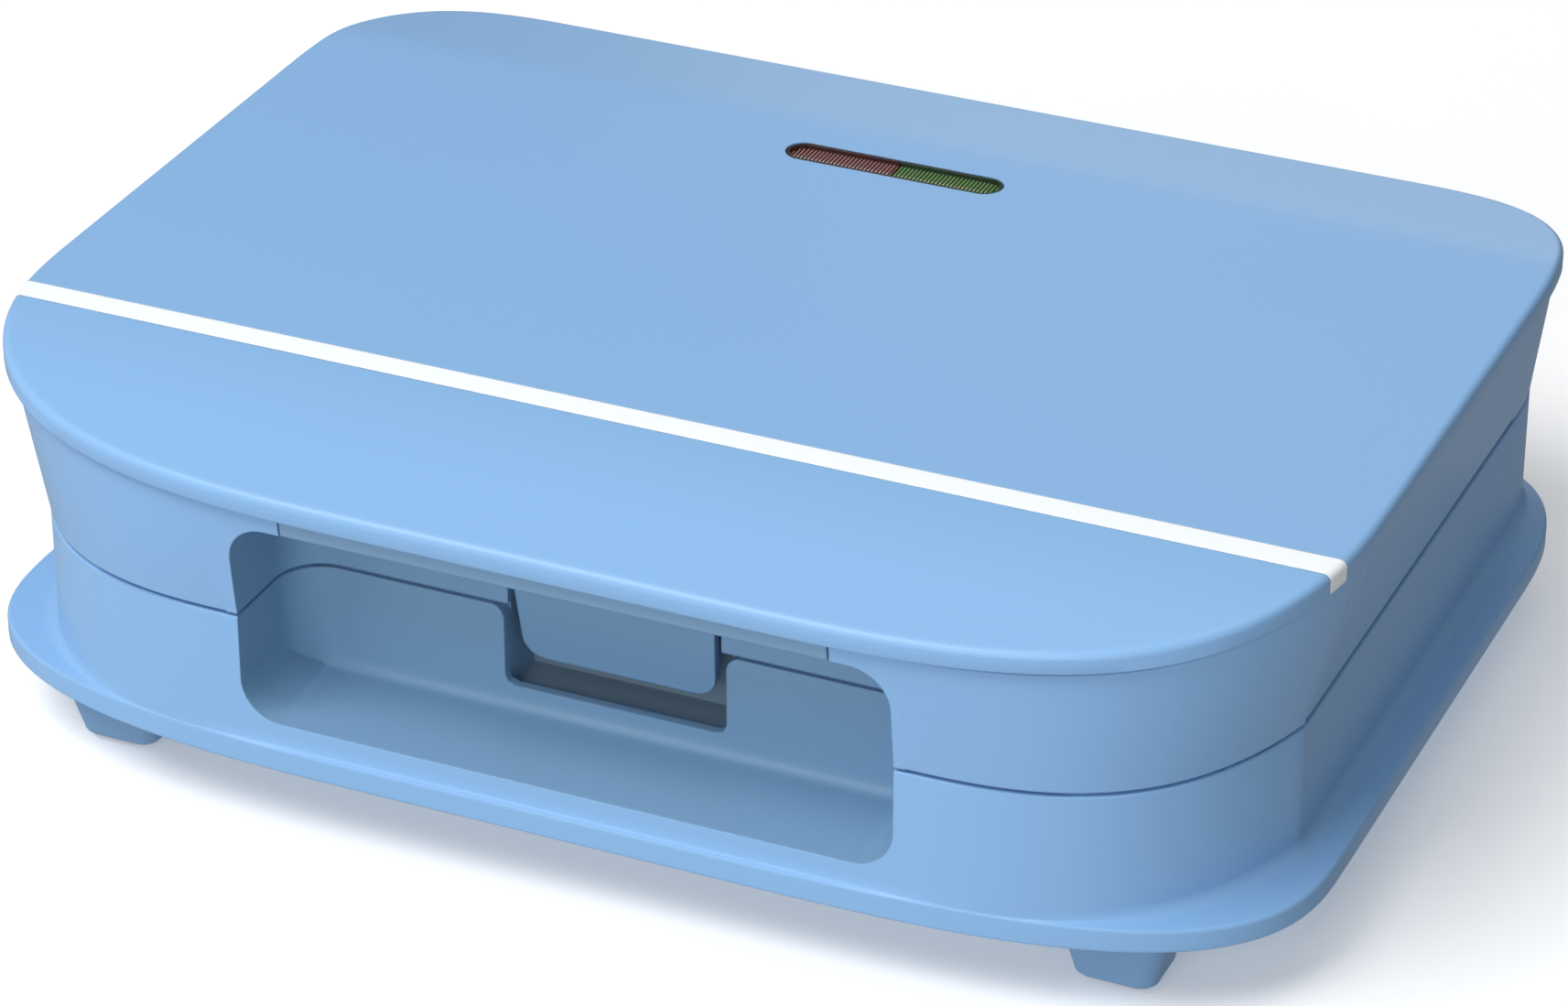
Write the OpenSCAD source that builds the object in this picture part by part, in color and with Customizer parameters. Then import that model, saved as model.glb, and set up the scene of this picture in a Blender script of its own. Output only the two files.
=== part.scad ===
/* [Lid] */
// Width of the lid cover, side to side
lid_w = 265; // [262:0.5:270]
// Depth of the lid cover, front to back
lid_d = 203.5; // [202:0.5:208]
// Height of the lid's flat top above the table
top_z = 80; // [79:0.5:84]
// Height of the cover's overhanging lip
lip_h = 4.1; // [3:0.1:5]
// Thickness of the cover's top
cover_t = 2.6; // [2:0.1:3]
// Fall of the top for each mm towards the front edge
front_slope = 0.192; // [0.12:0.002:0.22]
// Fall of the top for each mm towards the rear edge
rear_slope = 0.15; // [0.08:0.002:0.18]

/* [Inlay stripe] */
// Front edge of the white stripe, measured from the lid's middle
stripe_y = -60; // [-66:0.5:-56]
// Width of the stripe
stripe_w = 5.6; // [4:0.1:8]
// Depth of the stripe's groove
stripe_t = 1.2; // [0.8:0.1:1.6]

/* [Indicator window] */
// Distance of the window behind the lid's middle
window_y = 56.4; // [50:0.1:58]
// Length of the pill-shaped window
window_l = 46; // [40:1:50]
// Width of the window
window_w = 8; // [7:0.5:9]

/* [Base] */
// Half width of the housing wall at the joint line
wall_w = 125.3; // [124:0.1:126]
// Half depth of the housing wall at the joint line
wall_d = 96.4; // [96:0.1:97]
// Height of the base's top edge
rim_z = 44.5; // [44:0.1:45]
// Gap between base and lid at the joint line
joint_gap = 0.7; // [0.6:0.1:1]
// Height of the flange's underside
flange_z = 14.1; // [13:0.1:15]
// Height of the flange's top edge
shelf_z = 18.7; // [18:0.1:19]
// Thickness of the housing walls
wall_t = 2.4; // [2:0.1:2.6]

/* [Finger recess] */
// Half width of the recess
recess_w = 64.7; // [62:0.1:66]
// Place of the recess's back wall, measured from the lid's middle
recess_y = -73.2; // [-75:0.1:-72.5]
// Height of the recess floor
recess_floor = 23.5; // [23:0.1:25]
// Height of the recess ceiling
recess_top = 65.5; // [65:0.1:66]

/* [Donut plates] */
// Radius of each ring's centre line
ring_r = 20.5; // [19.5:0.1:20.5]
// Radius of the ring's round section
ring_section = 10.5; // [9:0.1:10.5]
// Spacing of the rings, side to side
ring_dx = 71; // [69:0.5:72]
// Spacing of the rings, front to back
ring_dy = 66; // [66:0.5:67]
// Place of the plates' middle behind the lid's middle
plate_y = 10; // [9.5:0.1:10.5]

/* [Hinge and latch] */
// Place of the hinge axis behind the lid's middle
hinge_y = 101; // [101:0.1:101.4]
// Height of the hinge axis
hinge_z = 45.2; // [45:0.1:45.6]
// Radius of the hinge pins
hinge_pin_r = 2; // [1.5:0.1:2.2]
// Place of the latch's pivot
latch_y = -95; // [-95.2:0.1:-94.8]
// Height of the latch's pivot
latch_z = 68; // [67.9:0.1:68.1]

/* [Feet] */
// Distance of each foot from the middle, side to side
foot_x = 101; // [96:0.5:102]
// Distance of each foot from the middle, front to back
foot_y = 75.5; // [70:0.5:77]

/* [Hidden] */

$fn = 48;
tiny = 0.01;
reach = 300;                 // longer than the object, for cuts that run right through
corner_steps = 16;           // points along each rounded corner of an outline

blue = [0.56, 0.72, 0.88];
white = [0.95, 0.96, 0.94];
nonstick = [0.13, 0.13, 0.14];
steel = [0.75, 0.76, 0.78];
ceramic = [0.88, 0.86, 0.80];

// The outlines: half width, front, back, then each corner's reach in x and y and its squareness
half_w = lid_w / 2;
half_d = lid_d / 2;
front_corner = [96.6, 67.9, 2.92];
rear_corner = [41.9, 53, 3];
wall_corner = [60.2, 42.3, 2.05];
flange_corner = [100, 47.3, 2.97];
flange_rear = [46, 56, 2.8];
lid_outline = [half_w, -half_d, half_d, front_corner, rear_corner];
wall_outline = [wall_w, -wall_d, wall_d, wall_corner, rear_corner];
flange_outline = [wall_w + 7.6, -wall_d - 1.4, wall_d + 3.1, flange_corner, flange_rear];

lid_z = rim_z + joint_gap;                  // underside of the lid
front_bend = [-54.3, -83.5];                // where the top starts to fall, and where it is straight
rear_bend = [64.4, 76.1];
lip_overhang = 1;                           // how far the lip stands out over the skirt
lip_wall = 2;                               // thickness of the lip
tongue_gap = 0.3;                           // play between the lip and the skirt's tongue
tongue_h = 0.7;                             // how far the tongue reaches up into the lip
seam = 0.12;                                // gap under the lip's edge
raised_edge = [-54, 68, 1.3];               // lifted stretch of the skirt's lower edge: from, to, height

deck_t = 4.4;                               // plastic deck round each plate
plate_size = [225.4, 141.4];                // flange of a plate
plate_fit = 0.3;                            // play round the plate's flange
plate_t = 2;
well_size = [216, 132, 1.6];                // thicker middle of a plate
deck_hole = [218, 134];
plate_corner = 14;
bowl_wall = 2.5;
bowl_r = ring_section + bowl_wall;
plate_lugs = [[96, 0], [-96, 0], [35.5, -60], [-35.5, -60], [35.5, 60], [-35.5, 60]];
lug_t = 4;
case_bosses = [[84, -76], [-84, -76], [117.5, -25], [-117.5, -25], [80, 84], [-80, 84]];
boss_r = 4;
pilot_r = 1.3;
screw_r = 1.25;
screw_hole_r = 1.7;
screw_head = [2.8, 1.8];                    // radius and height

recess_wall = 2.2;
recess_plan_r = 9;                          // back corners, seen from above
recess_front_r = 8;                         // corners of the opening, seen from the front
recess_floor_r = 3;                         // where the floor meets the back wall

tab_lean = 8.4;                             // the latch tab leans back towards its tip
tab_top = [-75.7, 65.6];                    // where the tab leaves the web, y and z
tab_l = 32.1;
tab_t = 2.2;
tab_half_w = [21, 19.4];                    // at the top and at the tip
tab_play = 0.35;
strip_half_w = 53.3;
latch_pin_r = 1.25;
latch_barrel_r = 2.6;
cheek_x = [53.6, 58];                       // cheeks that carry the latch pin
slot_back = -91.4;                          // back of the slot for the latch's strip
slot_top = 72;
pocket_half_w = 22.3;
pocket_y = -61.4;                           // back wall of the latch pocket
pocket_floor = 26.5;
notch_z = 28;                               // lip of the notch in the recess wall
catch_y = -65.2;                            // front edge of the catch
catch_z = rim_z - deck_t;                   // underside of the catch

knuckle_r = 3.9;
knuckle_x = [56, 62.2, 77.8, 84];           // base knuckles lie outside, the lid's between
knuckle_play = 0.3;
running_fit = 0.06;
gland_pos = [-38, 31];                      // x and z
gland_r = 6;
gland_bore_r = 3.5;

element_r = 3.25;
element_bend_r = 12.5;
element_x = [-80, 88];
element_z = -bowl_r - element_r;            // below the plate's face
pan_z = -24;                                // floor of the reflector pan, below the plate's face
pan_posts = [[70, -30], [-70, -30], [70, 50], [-70, 50]];
post_r = 4;
element_pin = element_x[1] + 11.3;          // x of the element's terminal pins
boss_top = 66;                              // where the lid shell's bosses meet the cover's

lamp_x = 11;                                // distance of each lamp from the window's middle
lamp_z = top_z - 6.8;
lamp_r = 2.6;

// ---------- outlines and lofts ----------

// Right half of an outline, from the front middle round to the rear, moved inwards by inset
function half_outline(o, inset = 0) =
    let (w = o[0] - inset, front = o[1] + inset, rear = o[2] - inset,
         fx = o[3][0] - inset, fy = o[3][1] - inset, fn = 2 / o[3][2],
         rx = o[4][0] - inset, ry = o[4][1] - inset, rn = 2 / o[4][2])
    concat(
        [for (k = [0:corner_steps]) let (a = 90 * k / corner_steps)
            [w - fx + fx * pow(sin(a), fn), front + fy - fy * pow(cos(a), fn)]],
        [for (k = [0:corner_steps]) let (a = 90 * k / corner_steps)
            [w - rx + rx * pow(cos(a), rn), rear - ry + ry * pow(sin(a), rn)]]);

// Blend of two half outlines: s = 0 gives the first and s = 1 the second
function blend(a, b, s) = [for (i = [0:len(a) - 1]) a[i] * (1 - s) + b[i] * s];

// Distance fallen t mm past the start of a bend that turns from level to straight over w mm
function bend_fall(t, w) = t <= 0 ? 0 : t < w ? t * t / (2 * w) : t - w / 2;

// How far the crowned top lies below its flat middle
function crown_fall(y) =
    front_slope * bend_fall(front_bend[0] - y, front_bend[0] - front_bend[1])
    + rear_slope * bend_fall(y - rear_bend[0], rear_bend[1] - rear_bend[0]);

// Closed ring of points at height z, or following the crown when crowned is 1
function ring(half, z, crowned = 0) =
    let (right = [for (p = half) [p[0], p[1], z - crowned * crown_fall(p[1])]], n = len(half))
    concat(right, [for (i = [n - 1:-1:0]) [-right[i][0], right[i][1], right[i][2]]]);

// Solid through a stack of rings, capped by flat strips that run from side to side
module loft(rings) {
    n = len(rings[0]);
    last = (len(rings) - 1) * n;
    sides = [for (j = [0:len(rings) - 2]) for (i = [0:n - 1])
        let (a = j * n + i, b = j * n + (i + 1) % n) each [[a, a + n, b + n], [a, b + n, b]]];
    bottom = [for (i = [0:n / 2 - 2]) [i, i + 1, n - 2 - i, n - 1 - i]];
    top = [for (f = bottom) [last + f[3], last + f[2], last + f[1], last + f[0]]];
    polyhedron([for (r = rings) each r], concat(sides, bottom, top));
}

module rounded_rect(w, d, r) {
    square([w - 2 * r, d], center = true);
    square([w, d - 2 * r], center = true);
    for (x = [-1, 1], y = [-1, 1]) translate([x * (w / 2 - r), y * (d / 2 - r)]) circle(r);
}

module slab(size, r, z0, z1) {
    translate([0, 0, z0]) linear_extrude(z1 - z0) rounded_rect(size[0], size[1], r);
}

module pill(l, w, z0, z1) {
    translate([0, 0, z0]) linear_extrude(z1 - z0) {
        square([l - w, w], center = true);
        for (s = [-1, 1]) translate([s * (l - w) / 2, 0]) circle(w / 2);
    }
}

// Extrusion along X of a profile drawn in y and z
module along_x(x0, x1) {
    translate([x0, 0, 0]) rotate([90, 0, 90]) linear_extrude(x1 - x0) children();
}

module box(low, high) {
    translate(low) cube(high - low);
}

// Moves things made face down for the base onto the base, or face up for the lid
module on_base() { translate([0, plate_y, rim_z]) children(); }
module on_lid() { translate([0, plate_y, lid_z]) mirror([0, 0, 1]) children(); }

// ---------- shared shapes of the two halves ----------

// The finger recess with its walls moved outwards by grow
module recess_space(grow = 0) {
    w = recess_w + grow;
    plan_r = recess_plan_r + grow;
    front_r = recess_front_r + grow;
    floor_r = recess_floor_r + grow;
    z0 = recess_floor - grow;
    z1 = recess_top + grow;
    y1 = recess_y + grow;
    intersection() {
        // seen from above
        translate([0, 0, z0]) linear_extrude(z1 - z0) {
            translate([-w, -reach / 2]) square([2 * w, reach / 2 + y1 - plan_r]);
            translate([plan_r - w, -reach / 2]) square([2 * (w - plan_r), reach / 2 + y1]);
            for (s = [-1, 1]) translate([s * (w - plan_r), y1 - plan_r]) circle(plan_r);
        }
        // seen from the front
        translate([0, y1, (z0 + z1) / 2]) rotate([90, 0, 0]) linear_extrude(reach / 2)
            rounded_rect(2 * w, z1 - z0, front_r);
        // seen from the side
        along_x(-w, w) {
            translate([-reach / 2, z0]) square([reach / 2 + y1 - floor_r, z1 - z0]);
            translate([-reach / 2, z0 + floor_r]) square([reach / 2 + y1, z1 - z0 - floor_r]);
            translate([y1 - floor_r, z0 + floor_r]) circle(floor_r);
        }
    }
}

// Hole in the deck for a plate: rebate for the flange and through hole for the bowls
module plate_seat_cut() {
    slab([plate_size[0] + 2 * plate_fit, plate_size[1] + 2 * plate_fit], plate_corner + plate_fit,
        -plate_t, 1);
    slab(deck_hole, plate_corner - 3, -deck_t - 10, 0);
}

// Lugs that reach under the plate and take its screws
module plate_lugs() {
    lug_top = -plate_t - well_size[2];
    for (p = plate_lugs) {
        side = p[1] == 0;
        dir = side ? [sign(p[0]), 0] : [0, sign(p[1])];
        rim = side ? deck_hole[0] / 2 + 3 : deck_hole[1] / 2 + 3;
        along = side ? abs(p[0]) : abs(p[1]);
        difference() {
            translate([0, 0, lug_top - lug_t]) linear_extrude(lug_t) {
                translate(p) circle(5);
                translate([p[0] + dir[0] * (rim - along) / 2, p[1] + dir[1] * (rim - along) / 2])
                    square(side ? [rim - along, 10] : [10, rim - along], center = true);
            }
            translate([p[0], p[1], lug_top - lug_t - 1]) cylinder(h = lug_t + 2, r = screw_hole_r);
        }
    }
}

// Cast plate with its face at z = 0 and its bowls below
module donut_plate() {
    color(nonstick) difference() {
        union() {
            slab(plate_size, plate_corner, -plate_t, 0);
            slab(well_size, plate_corner - 4, -plate_t - well_size[2], -plate_t + tiny);
            each_ring() intersection() {
                rotate_extrude() translate([ring_r, 0]) circle(bowl_r);
                translate([0, 0, -reach / 2]) cylinder(h = reach / 2, r = ring_r + bowl_r + 1);
            }
        }
        each_ring() rotate_extrude() translate([ring_r, 0]) circle(ring_section);
        for (p = plate_lugs) translate([p[0], p[1], -reach]) cylinder(h = reach - 1.2, r = pilot_r);
    }
}

module each_ring() {
    for (x = [-1, 0, 1], y = [-0.5, 0.5]) translate([x * ring_dx, y * ring_dy, 0]) children();
}

// U-shaped tubular heater that touches the lowest line of every bowl
module heating_element() {
    translate([0, 0, element_z]) {
        color(steel) for (s = [-1, 1]) translate([element_x[0], s * element_bend_r, 0])
            rotate([0, 90, 0]) cylinder(h = element_x[1] - element_x[0], r = element_r);
        color(steel) translate([element_x[0], 0, 0]) rotate([0, 0, 90]) rotate_extrude(angle = 180)
            translate([element_bend_r, 0]) circle(element_r);
        color(ceramic) for (s = [-1, 1]) translate([element_x[1], s * element_bend_r, 0])
            rotate([0, 90, 0]) cylinder(h = 5, r = element_r - 0.4);
        color(steel) for (s = [-1, 1]) translate([element_x[1], s * element_bend_r, 0])
            rotate([0, 90, 0]) cylinder(h = 11, r = 1.2);
    }
}

// Folded sheet pan that keeps the heat off the plastic
module reflector_pan() {
    size = [206, 122];
    sheet = 0.8;
    height = 8;
    color(steel) difference() {
        slab(size, 10, pan_z, pan_z + height);
        slab([size[0] - 2 * sheet, size[1] - 2 * sheet], 10 - sheet, pan_z + sheet, 0);
        for (x = [-84:14:84], y = [-1, 1]) translate([x, y * 46, pan_z - 1]) cylinder(h = 3, r = 3);
        box([95, -18, pan_z + 3], [105, 18, 0]);
    }
}

// Screw with its head's top face at z = 0, pointing up
module screw(shank) {
    color(steel) {
        difference() {
            translate([0, 0, -screw_head[1]]) cylinder(h = screw_head[1], r = screw_head[0]);
            for (a = [0, 90]) rotate([0, 0, a])
                box([-1.6, -0.35, -screw_head[1] - 1], [1.6, 0.35, -screw_head[1] + 0.9]);
        }
        translate([0, 0, -tiny]) cylinder(h = shank, r = screw_r);
    }
}

module plate_screws() {
    for (p = plate_lugs) translate([p[0], p[1], -plate_t - well_size[2] - lug_t]) screw(5.8);
}

// Direction of a route at its point i, halfway between the runs that meet there
function unit(v) = v / norm(v);
function heading(route, i) = unit(
    (i > 0 ? unit(route[i] - route[i - 1]) : [0, 0, 0])
    + (i < len(route) - 1 ? unit(route[i + 1] - route[i]) : [0, 0, 0]));

// Insulated lead swept along a route
module lead(route, r = 1.1, sides = 8) {
    aside = [0.31, 0.47, 0.83];             // no route runs this way
    rings = [for (i = [0:len(route) - 1])
        let (d = heading(route, i), u = unit(cross(d, aside)), v = cross(d, u))
        [for (k = [0:sides - 1]) let (a = 360 * k / sides) route[i] + r * (cos(a) * u + sin(a) * v)]];
    last = (len(route) - 1) * sides;
    walls = [for (i = [0:len(route) - 2]) for (k = [0:sides - 1])
        let (a = i * sides + k, b = i * sides + (k + 1) % sides)
            each [[a, b + sides, b], [a, a + sides, b + sides]]];
    ends = [[for (k = [0:sides - 1]) k], [for (k = [sides - 1:-1:0]) last + k]];
    polyhedron([for (g = rings) each g], concat(walls, ends));
}

// ---------- base ----------

// Outer form of the base: flange, shelf with its fillet, wall and rounded top edge.
// Each pair is the way from wall to flange and the height.
module base_form() {
    wall = half_outline(wall_outline);
    flange = half_outline(flange_outline);
    profile = [[0.94, flange_z], [1, flange_z + 0.6], [1, shelf_z - 0.7], [0.93, shelf_z],
               [0.5, shelf_z + 0.25], [0.22, shelf_z + 0.9], [0.07, shelf_z + 2.1],
               [0, shelf_z + 3.7], [0, rim_z - 0.5], [-0.04, rim_z]];
    loft([for (p = profile) ring(blend(wall, flange, p[0]), p[1])]);
}

module base_hollow() {
    loft([for (z = [flange_z - 1, rim_z - deck_t]) ring(half_outline(wall_outline, wall_t), z)]);
    loft([for (z = [flange_z - 1, shelf_z - wall_t])
        ring(half_outline(flange_outline, wall_t + 0.2), z)]);
}

module base_knuckles() {
    for (s = [-1, 1], k = [0, 2]) {
        x0 = s > 0 ? knuckle_x[k] : -knuckle_x[k + 1];
        x1 = s > 0 ? knuckle_x[k + 1] : -knuckle_x[k];
        translate([x0, hinge_y, hinge_z]) rotate([0, 90, 0]) cylinder(h = x1 - x0, r = knuckle_r);
        along_x(x0, x1) polygon([[wall_d - 1, hinge_z - 16], [wall_d - 1, rim_z - 0.2],
            [hinge_y, rim_z - 0.2], [hinge_y + knuckle_r * 0.7, hinge_z - knuckle_r * 0.7]]);
    }
}

module base_shell() {
    color(blue) difference() {
        union() {
            difference() {
                base_form();
                base_hollow();
            }
            // walls of the finger recess and of the latch pocket
            intersection() {
                base_form();
                union() {
                    recess_space(recess_wall);
                    box([-pocket_half_w - 2, recess_y, pocket_floor - 2],
                        [pocket_half_w + 2, pocket_y + 2, rim_z]);
                }
            }
            // screw bosses and rest studs
            for (p = case_bosses) translate([p[0], p[1], flange_z + 2])
                cylinder(h = rim_z - deck_t - flange_z - 2 + tiny, r = boss_r);
            for (x = [-1, 1]) translate([x * 82, -80, rim_z - 1]) cylinder(h = 1.4, r = 3);
            on_base() plate_lugs();
            difference() {
                base_knuckles();
                base_hollow();
            }
        }
        recess_space();
        // notch and pocket that the latch's tab hangs in, open at the top up to the catch
        box([-pocket_half_w, recess_y - 1, notch_z], [pocket_half_w, recess_y + 3, rim_z + 1]);
        box([-pocket_half_w, recess_y + 2, pocket_floor], [pocket_half_w, pocket_y, catch_z]);
        box([-pocket_half_w, recess_y + 2, catch_z - 1], [pocket_half_w, catch_y, rim_z + 1]);
        on_base() plate_seat_cut();
        for (p = case_bosses) translate([p[0], p[1], flange_z]) cylinder(h = 16, r = pilot_r);
        for (s = [-1, 1]) translate([s * (knuckle_x[0] - 1), hinge_y, hinge_z]) rotate([0, s * 90, 0])
            cylinder(h = knuckle_x[3] - knuckle_x[0] + 2, r = hinge_pin_r);
        // hole for the cord gland
        translate([gland_pos[0], wall_d - wall_t - 2, gland_pos[1]]) rotate([-90, 0, 0])
            cylinder(h = wall_t + 6, r = gland_r - 1);
    }
}

module bottom_cover() {
    z1 = flange_z + 2;
    color(blue) difference() {
        union() {
            loft([for (z = [flange_z, z1]) ring(half_outline(flange_outline, wall_t + 0.4), z)]);
            // posts that carry the reflector pan
            for (p = pan_posts) translate([p[0], p[1], z1 - 0.5])
                cylinder(h = rim_z + pan_z - z1 + 0.5, r = post_r);
        }
        for (p = case_bosses) translate([p[0], p[1], flange_z - 1]) cylinder(h = 4, r = screw_hole_r);
        // two fields of air slots
        for (s = [-1, 1], y = [-24:8:40]) translate([s * 38, y, 0]) pill(46, 3, flange_z - 1, z1 + 1);
        for (x = [-1, 1], y = [-1, 1]) translate([x * foot_x, y * foot_y, flange_z - 1])
            cylinder(h = 4, r = 3);
    }
}

// Moulded foot: a block that tapers to a rounded sole, with a peg into the bottom cover
module foot(sx, sy) {
    top = [21, 18];
    sole = [14.5, 12.5];
    low = 0.8;
    color(blue) translate([sx * foot_x, sy * foot_y, 0]) difference() {
        union() {
            foot_block(top, sole, low);
            translate([0, 0, flange_z - 1]) cylinder(h = 3.4, r = 2.9);
        }
        translate([0, 0, low - 1]) cylinder(h = 2, r = 4.2);
    }
}

module foot_block(top, sole, low) {
    hull() {
        translate([0, 0, flange_z - tiny]) linear_extrude(tiny) rounded_rect(top[0], top[1], 4, $fn = 32);
        translate([0, 0, low + 2]) linear_extrude(tiny)
            rounded_rect(sole[0] + 1.6, sole[1] + 1.6, 3.4, $fn = 32);
        translate([0, 0, low + 0.6]) linear_extrude(tiny)
            rounded_rect(sole[0] + 0.6, sole[1] + 0.6, 3.2, $fn = 32);
        translate([0, 0, low]) linear_extrude(tiny) rounded_rect(sole[0] - 1, sole[1] - 1, 3, $fn = 32);
    }
}

module foot_front_left() { foot(-1, -1); }
module foot_front_right() { foot(1, -1); }
module foot_rear_left() { foot(-1, 1); }
module foot_rear_right() { foot(1, 1); }

module foot_pads() {
    color([0.3, 0.33, 0.36]) for (x = [-1, 1], y = [-1, 1])
        translate([x * foot_x, y * foot_y, 0]) cylinder(h = 1.8, r = 4.1);
}

module lower_plate() { on_base() donut_plate(); }
module lower_element() { on_base() heating_element(); }
module lower_reflector() { on_base() reflector_pan(); }
module lower_plate_screws() { on_base() plate_screws(); }

module thermostat() {
    on_base() translate([ring_dx / 2, 0, -plate_t - well_size[2]]) mirror([0, 0, 1]) {
        color(steel) cylinder(h = 2, r = 7);
        color(ceramic) translate([0, 0, 2]) cylinder(h = 6, r = 6);
        color(steel) for (s = [-1, 1]) translate([s * 4, 0, 8]) cylinder(h = 3, r = 0.9);
    }
}

module thermal_fuse() {
    on_base() translate([-ring_dx / 2, 0, -plate_t - well_size[2] - 2.5]) rotate([0, 90, 0]) {
        color(steel) translate([0, 0, -7]) cylinder(h = 14, r = 2.5);
        color(steel) translate([0, 0, -12]) cylinder(h = 24, r = 0.7);
    }
}

module terminal_block() {
    color(white) translate([-38, 83, flange_z + 2]) difference() {
        box([-13, -5, 0], [13, 5, 11]);
        for (x = [-8, 0, 8]) {
            translate([x, 0, 5]) cylinder(h = 8, r = 2);
            translate([x, -6, 5]) rotate([-90, 0, 0]) cylinder(h = 12, r = 1.5);
        }
    }
}

module base_leads() {
    pin_z = rim_z + element_z;
    color([0.8, 0.2, 0.15]) lead([[element_pin, plate_y + element_bend_r, pin_z],
        [108, 26, pin_z], [108, 72, 22], [-46, 72, 21.1], [-46, 80, 21.1]]);
    color([0.9, 0.9, 0.92]) lead([[element_pin, plate_y - element_bend_r, pin_z],
        [111, 2, pin_z], [111, 75.3, 22], [-30, 75.3, 21.1], [-30, 80, 21.1]]);
}

module bottom_screws() {
    for (p = case_bosses) translate([p[0], p[1], flange_z]) screw(13);
}

module cord_gland() {
    y0 = wall_d - wall_t;
    color([0.3, 0.33, 0.36]) translate([gland_pos[0], y0, gland_pos[1]]) rotate([-90, 0, 0])
        difference() {
            union() {
                translate([0, 0, -3]) cylinder(h = 3, r = gland_r);
                translate([0, 0, -3]) cylinder(h = wall_t + 6, r = gland_r - 1.05);
                translate([0, 0, wall_t]) cylinder(h = 3, r = gland_r + 0.5);
            }
            translate([0, 0, -4]) cylinder(h = wall_t + 8, r = gland_bore_r);
        }
}

module hinge_pin(s) {
    color(steel) translate([s > 0 ? knuckle_x[0] : -knuckle_x[3], hinge_y, hinge_z])
        rotate([0, 90, 0]) cylinder(h = knuckle_x[3] - knuckle_x[0], r = hinge_pin_r);
}

module hinge_pin_left() { hinge_pin(-1); }
module hinge_pin_right() { hinge_pin(1); }

// ---------- lid ----------

// Everything below the crowned surface that lies drop mm under the top
module under_crown(drop) {
    past = half_d + 5;
    ys = concat([-past], [for (y = [-84:3:-54]) y], [for (y = [64:3:76]) y], [past]);
    along_x(-half_w, half_w)
        polygon(concat([for (y = ys) [y, top_z - drop - crown_fall(y)]], [[past, 0], [-past, 0]]));
}

// The drafted skirt between the joint line and the lip
module skirt_form(inset, z0) {
    low = half_outline(wall_outline, inset);
    high = half_outline(lid_outline, inset + lip_overhang);
    rise = top_z - lip_h - lid_z;
    loft([for (z = [z0, top_z - 1]) ring(blend(low, high, (z - lid_z) / rise), z)]);
}

module lid_knuckles() {
    for (s = [-1, 1]) {
        x0 = s > 0 ? knuckle_x[1] + knuckle_play : -knuckle_x[2] + knuckle_play;
        x1 = s > 0 ? knuckle_x[2] - knuckle_play : -knuckle_x[1] - knuckle_play;
        translate([x0, hinge_y, hinge_z]) rotate([0, 90, 0]) cylinder(h = x1 - x0, r = knuckle_r);
        along_x(x0, x1) polygon([[wall_d - 1, lid_z + 0.3], [wall_d - 1, lid_z + 16],
            [hinge_y + knuckle_r * 0.7, hinge_z + knuckle_r * 0.7], [hinge_y, lid_z + 0.3]]);
    }
}

module lid_shell() {
    color(blue) difference() {
        union() {
            difference() {
                union() {
                    intersection() {
                        skirt_form(0, lid_z);
                        under_crown(lip_h + seam);
                    }
                    // tongue that sits inside the cover's lip
                    intersection() {
                        skirt_form(lip_wall + tongue_gap - lip_overhang, lid_z + 1);
                        under_crown(lip_h - tongue_h);
                    }
                }
                skirt_form(wall_t, lid_z + deck_t);
            }
            // walls of the upper half of the recess, and the latch's cheeks
            intersection() {
                union() {
                    recess_space(recess_wall);
                    for (s = [-1, 1]) mirror([s > 0 ? 0 : 1, 0, 0])
                        box([cheek_x[0], -101, recess_top - 1], [cheek_x[1], -90, slot_top - 1.4]);
                }
                skirt_form(0, lid_z);
                under_crown(lip_h + seam);
            }
            for (p = case_bosses) translate([p[0], p[1], lid_z + 1])
                cylinder(h = boss_top - lid_z - 1, r = boss_r);
            on_lid() plate_lugs();
            difference() {
                lid_knuckles();
                skirt_form(wall_t, lid_z + deck_t);
            }
        }
        recess_space();
        // room for the latch's strip and barrel, and for its web and tab
        box([-strip_half_w - tab_play, -reach / 2, recess_top - 1],
            [strip_half_w + tab_play, slot_back, slot_top]);
        box([-tab_half_w[0] - tab_play, slot_back - 0.6, lid_z - 1],
            [tab_half_w[0] + tab_play, -67, slot_top]);
        on_lid() plate_seat_cut();
        // lifted lower edge along each side
        for (s = [-1, 1]) box([s * 130 - 9, raised_edge[0], lid_z - 1],
            [s * 130 + 9, raised_edge[1], lid_z + raised_edge[2]]);
        for (p = case_bosses) translate([p[0], p[1], lid_z - 1]) {
            cylinder(h = 16, r = screw_head[0] + 0.3);
            cylinder(h = 30, r = screw_hole_r);
        }
        for (s = [-1, 1]) translate([s * (knuckle_x[0] - 1), hinge_y, hinge_z]) rotate([0, s * 90, 0])
            cylinder(h = knuckle_x[3] - knuckle_x[0] + 2, r = hinge_pin_r + running_fit);
        translate([-60, latch_y, latch_z]) rotate([0, 90, 0]) cylinder(h = 120, r = latch_pin_r);
    }
}

// Crowned slab with a rounded edge, its surface moved inwards by depth
module cover_form(depth, low) {
    edge = [[low, 0.3], [low > lip_h ? low - 0.3 : lip_h - 0.3, 0], [1.4, 0], [0.7, 0.22], [0.25, 0.65],
            [0, 1.4]];
    loft([for (e = edge) let (sunk = e[0] == low ? low : e[0] + depth)
        ring(half_outline(lid_outline, e[1] + depth), top_z - sunk, 1)]);
}

module cover_hollow() {
    edge = [[lip_h + 2, lip_wall], [cover_t + 0.6, lip_wall], [cover_t, lip_wall + 0.6]];
    loft([for (e = edge) ring(half_outline(lid_outline, e[1]), top_z - e[0], 1)]);
}

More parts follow.
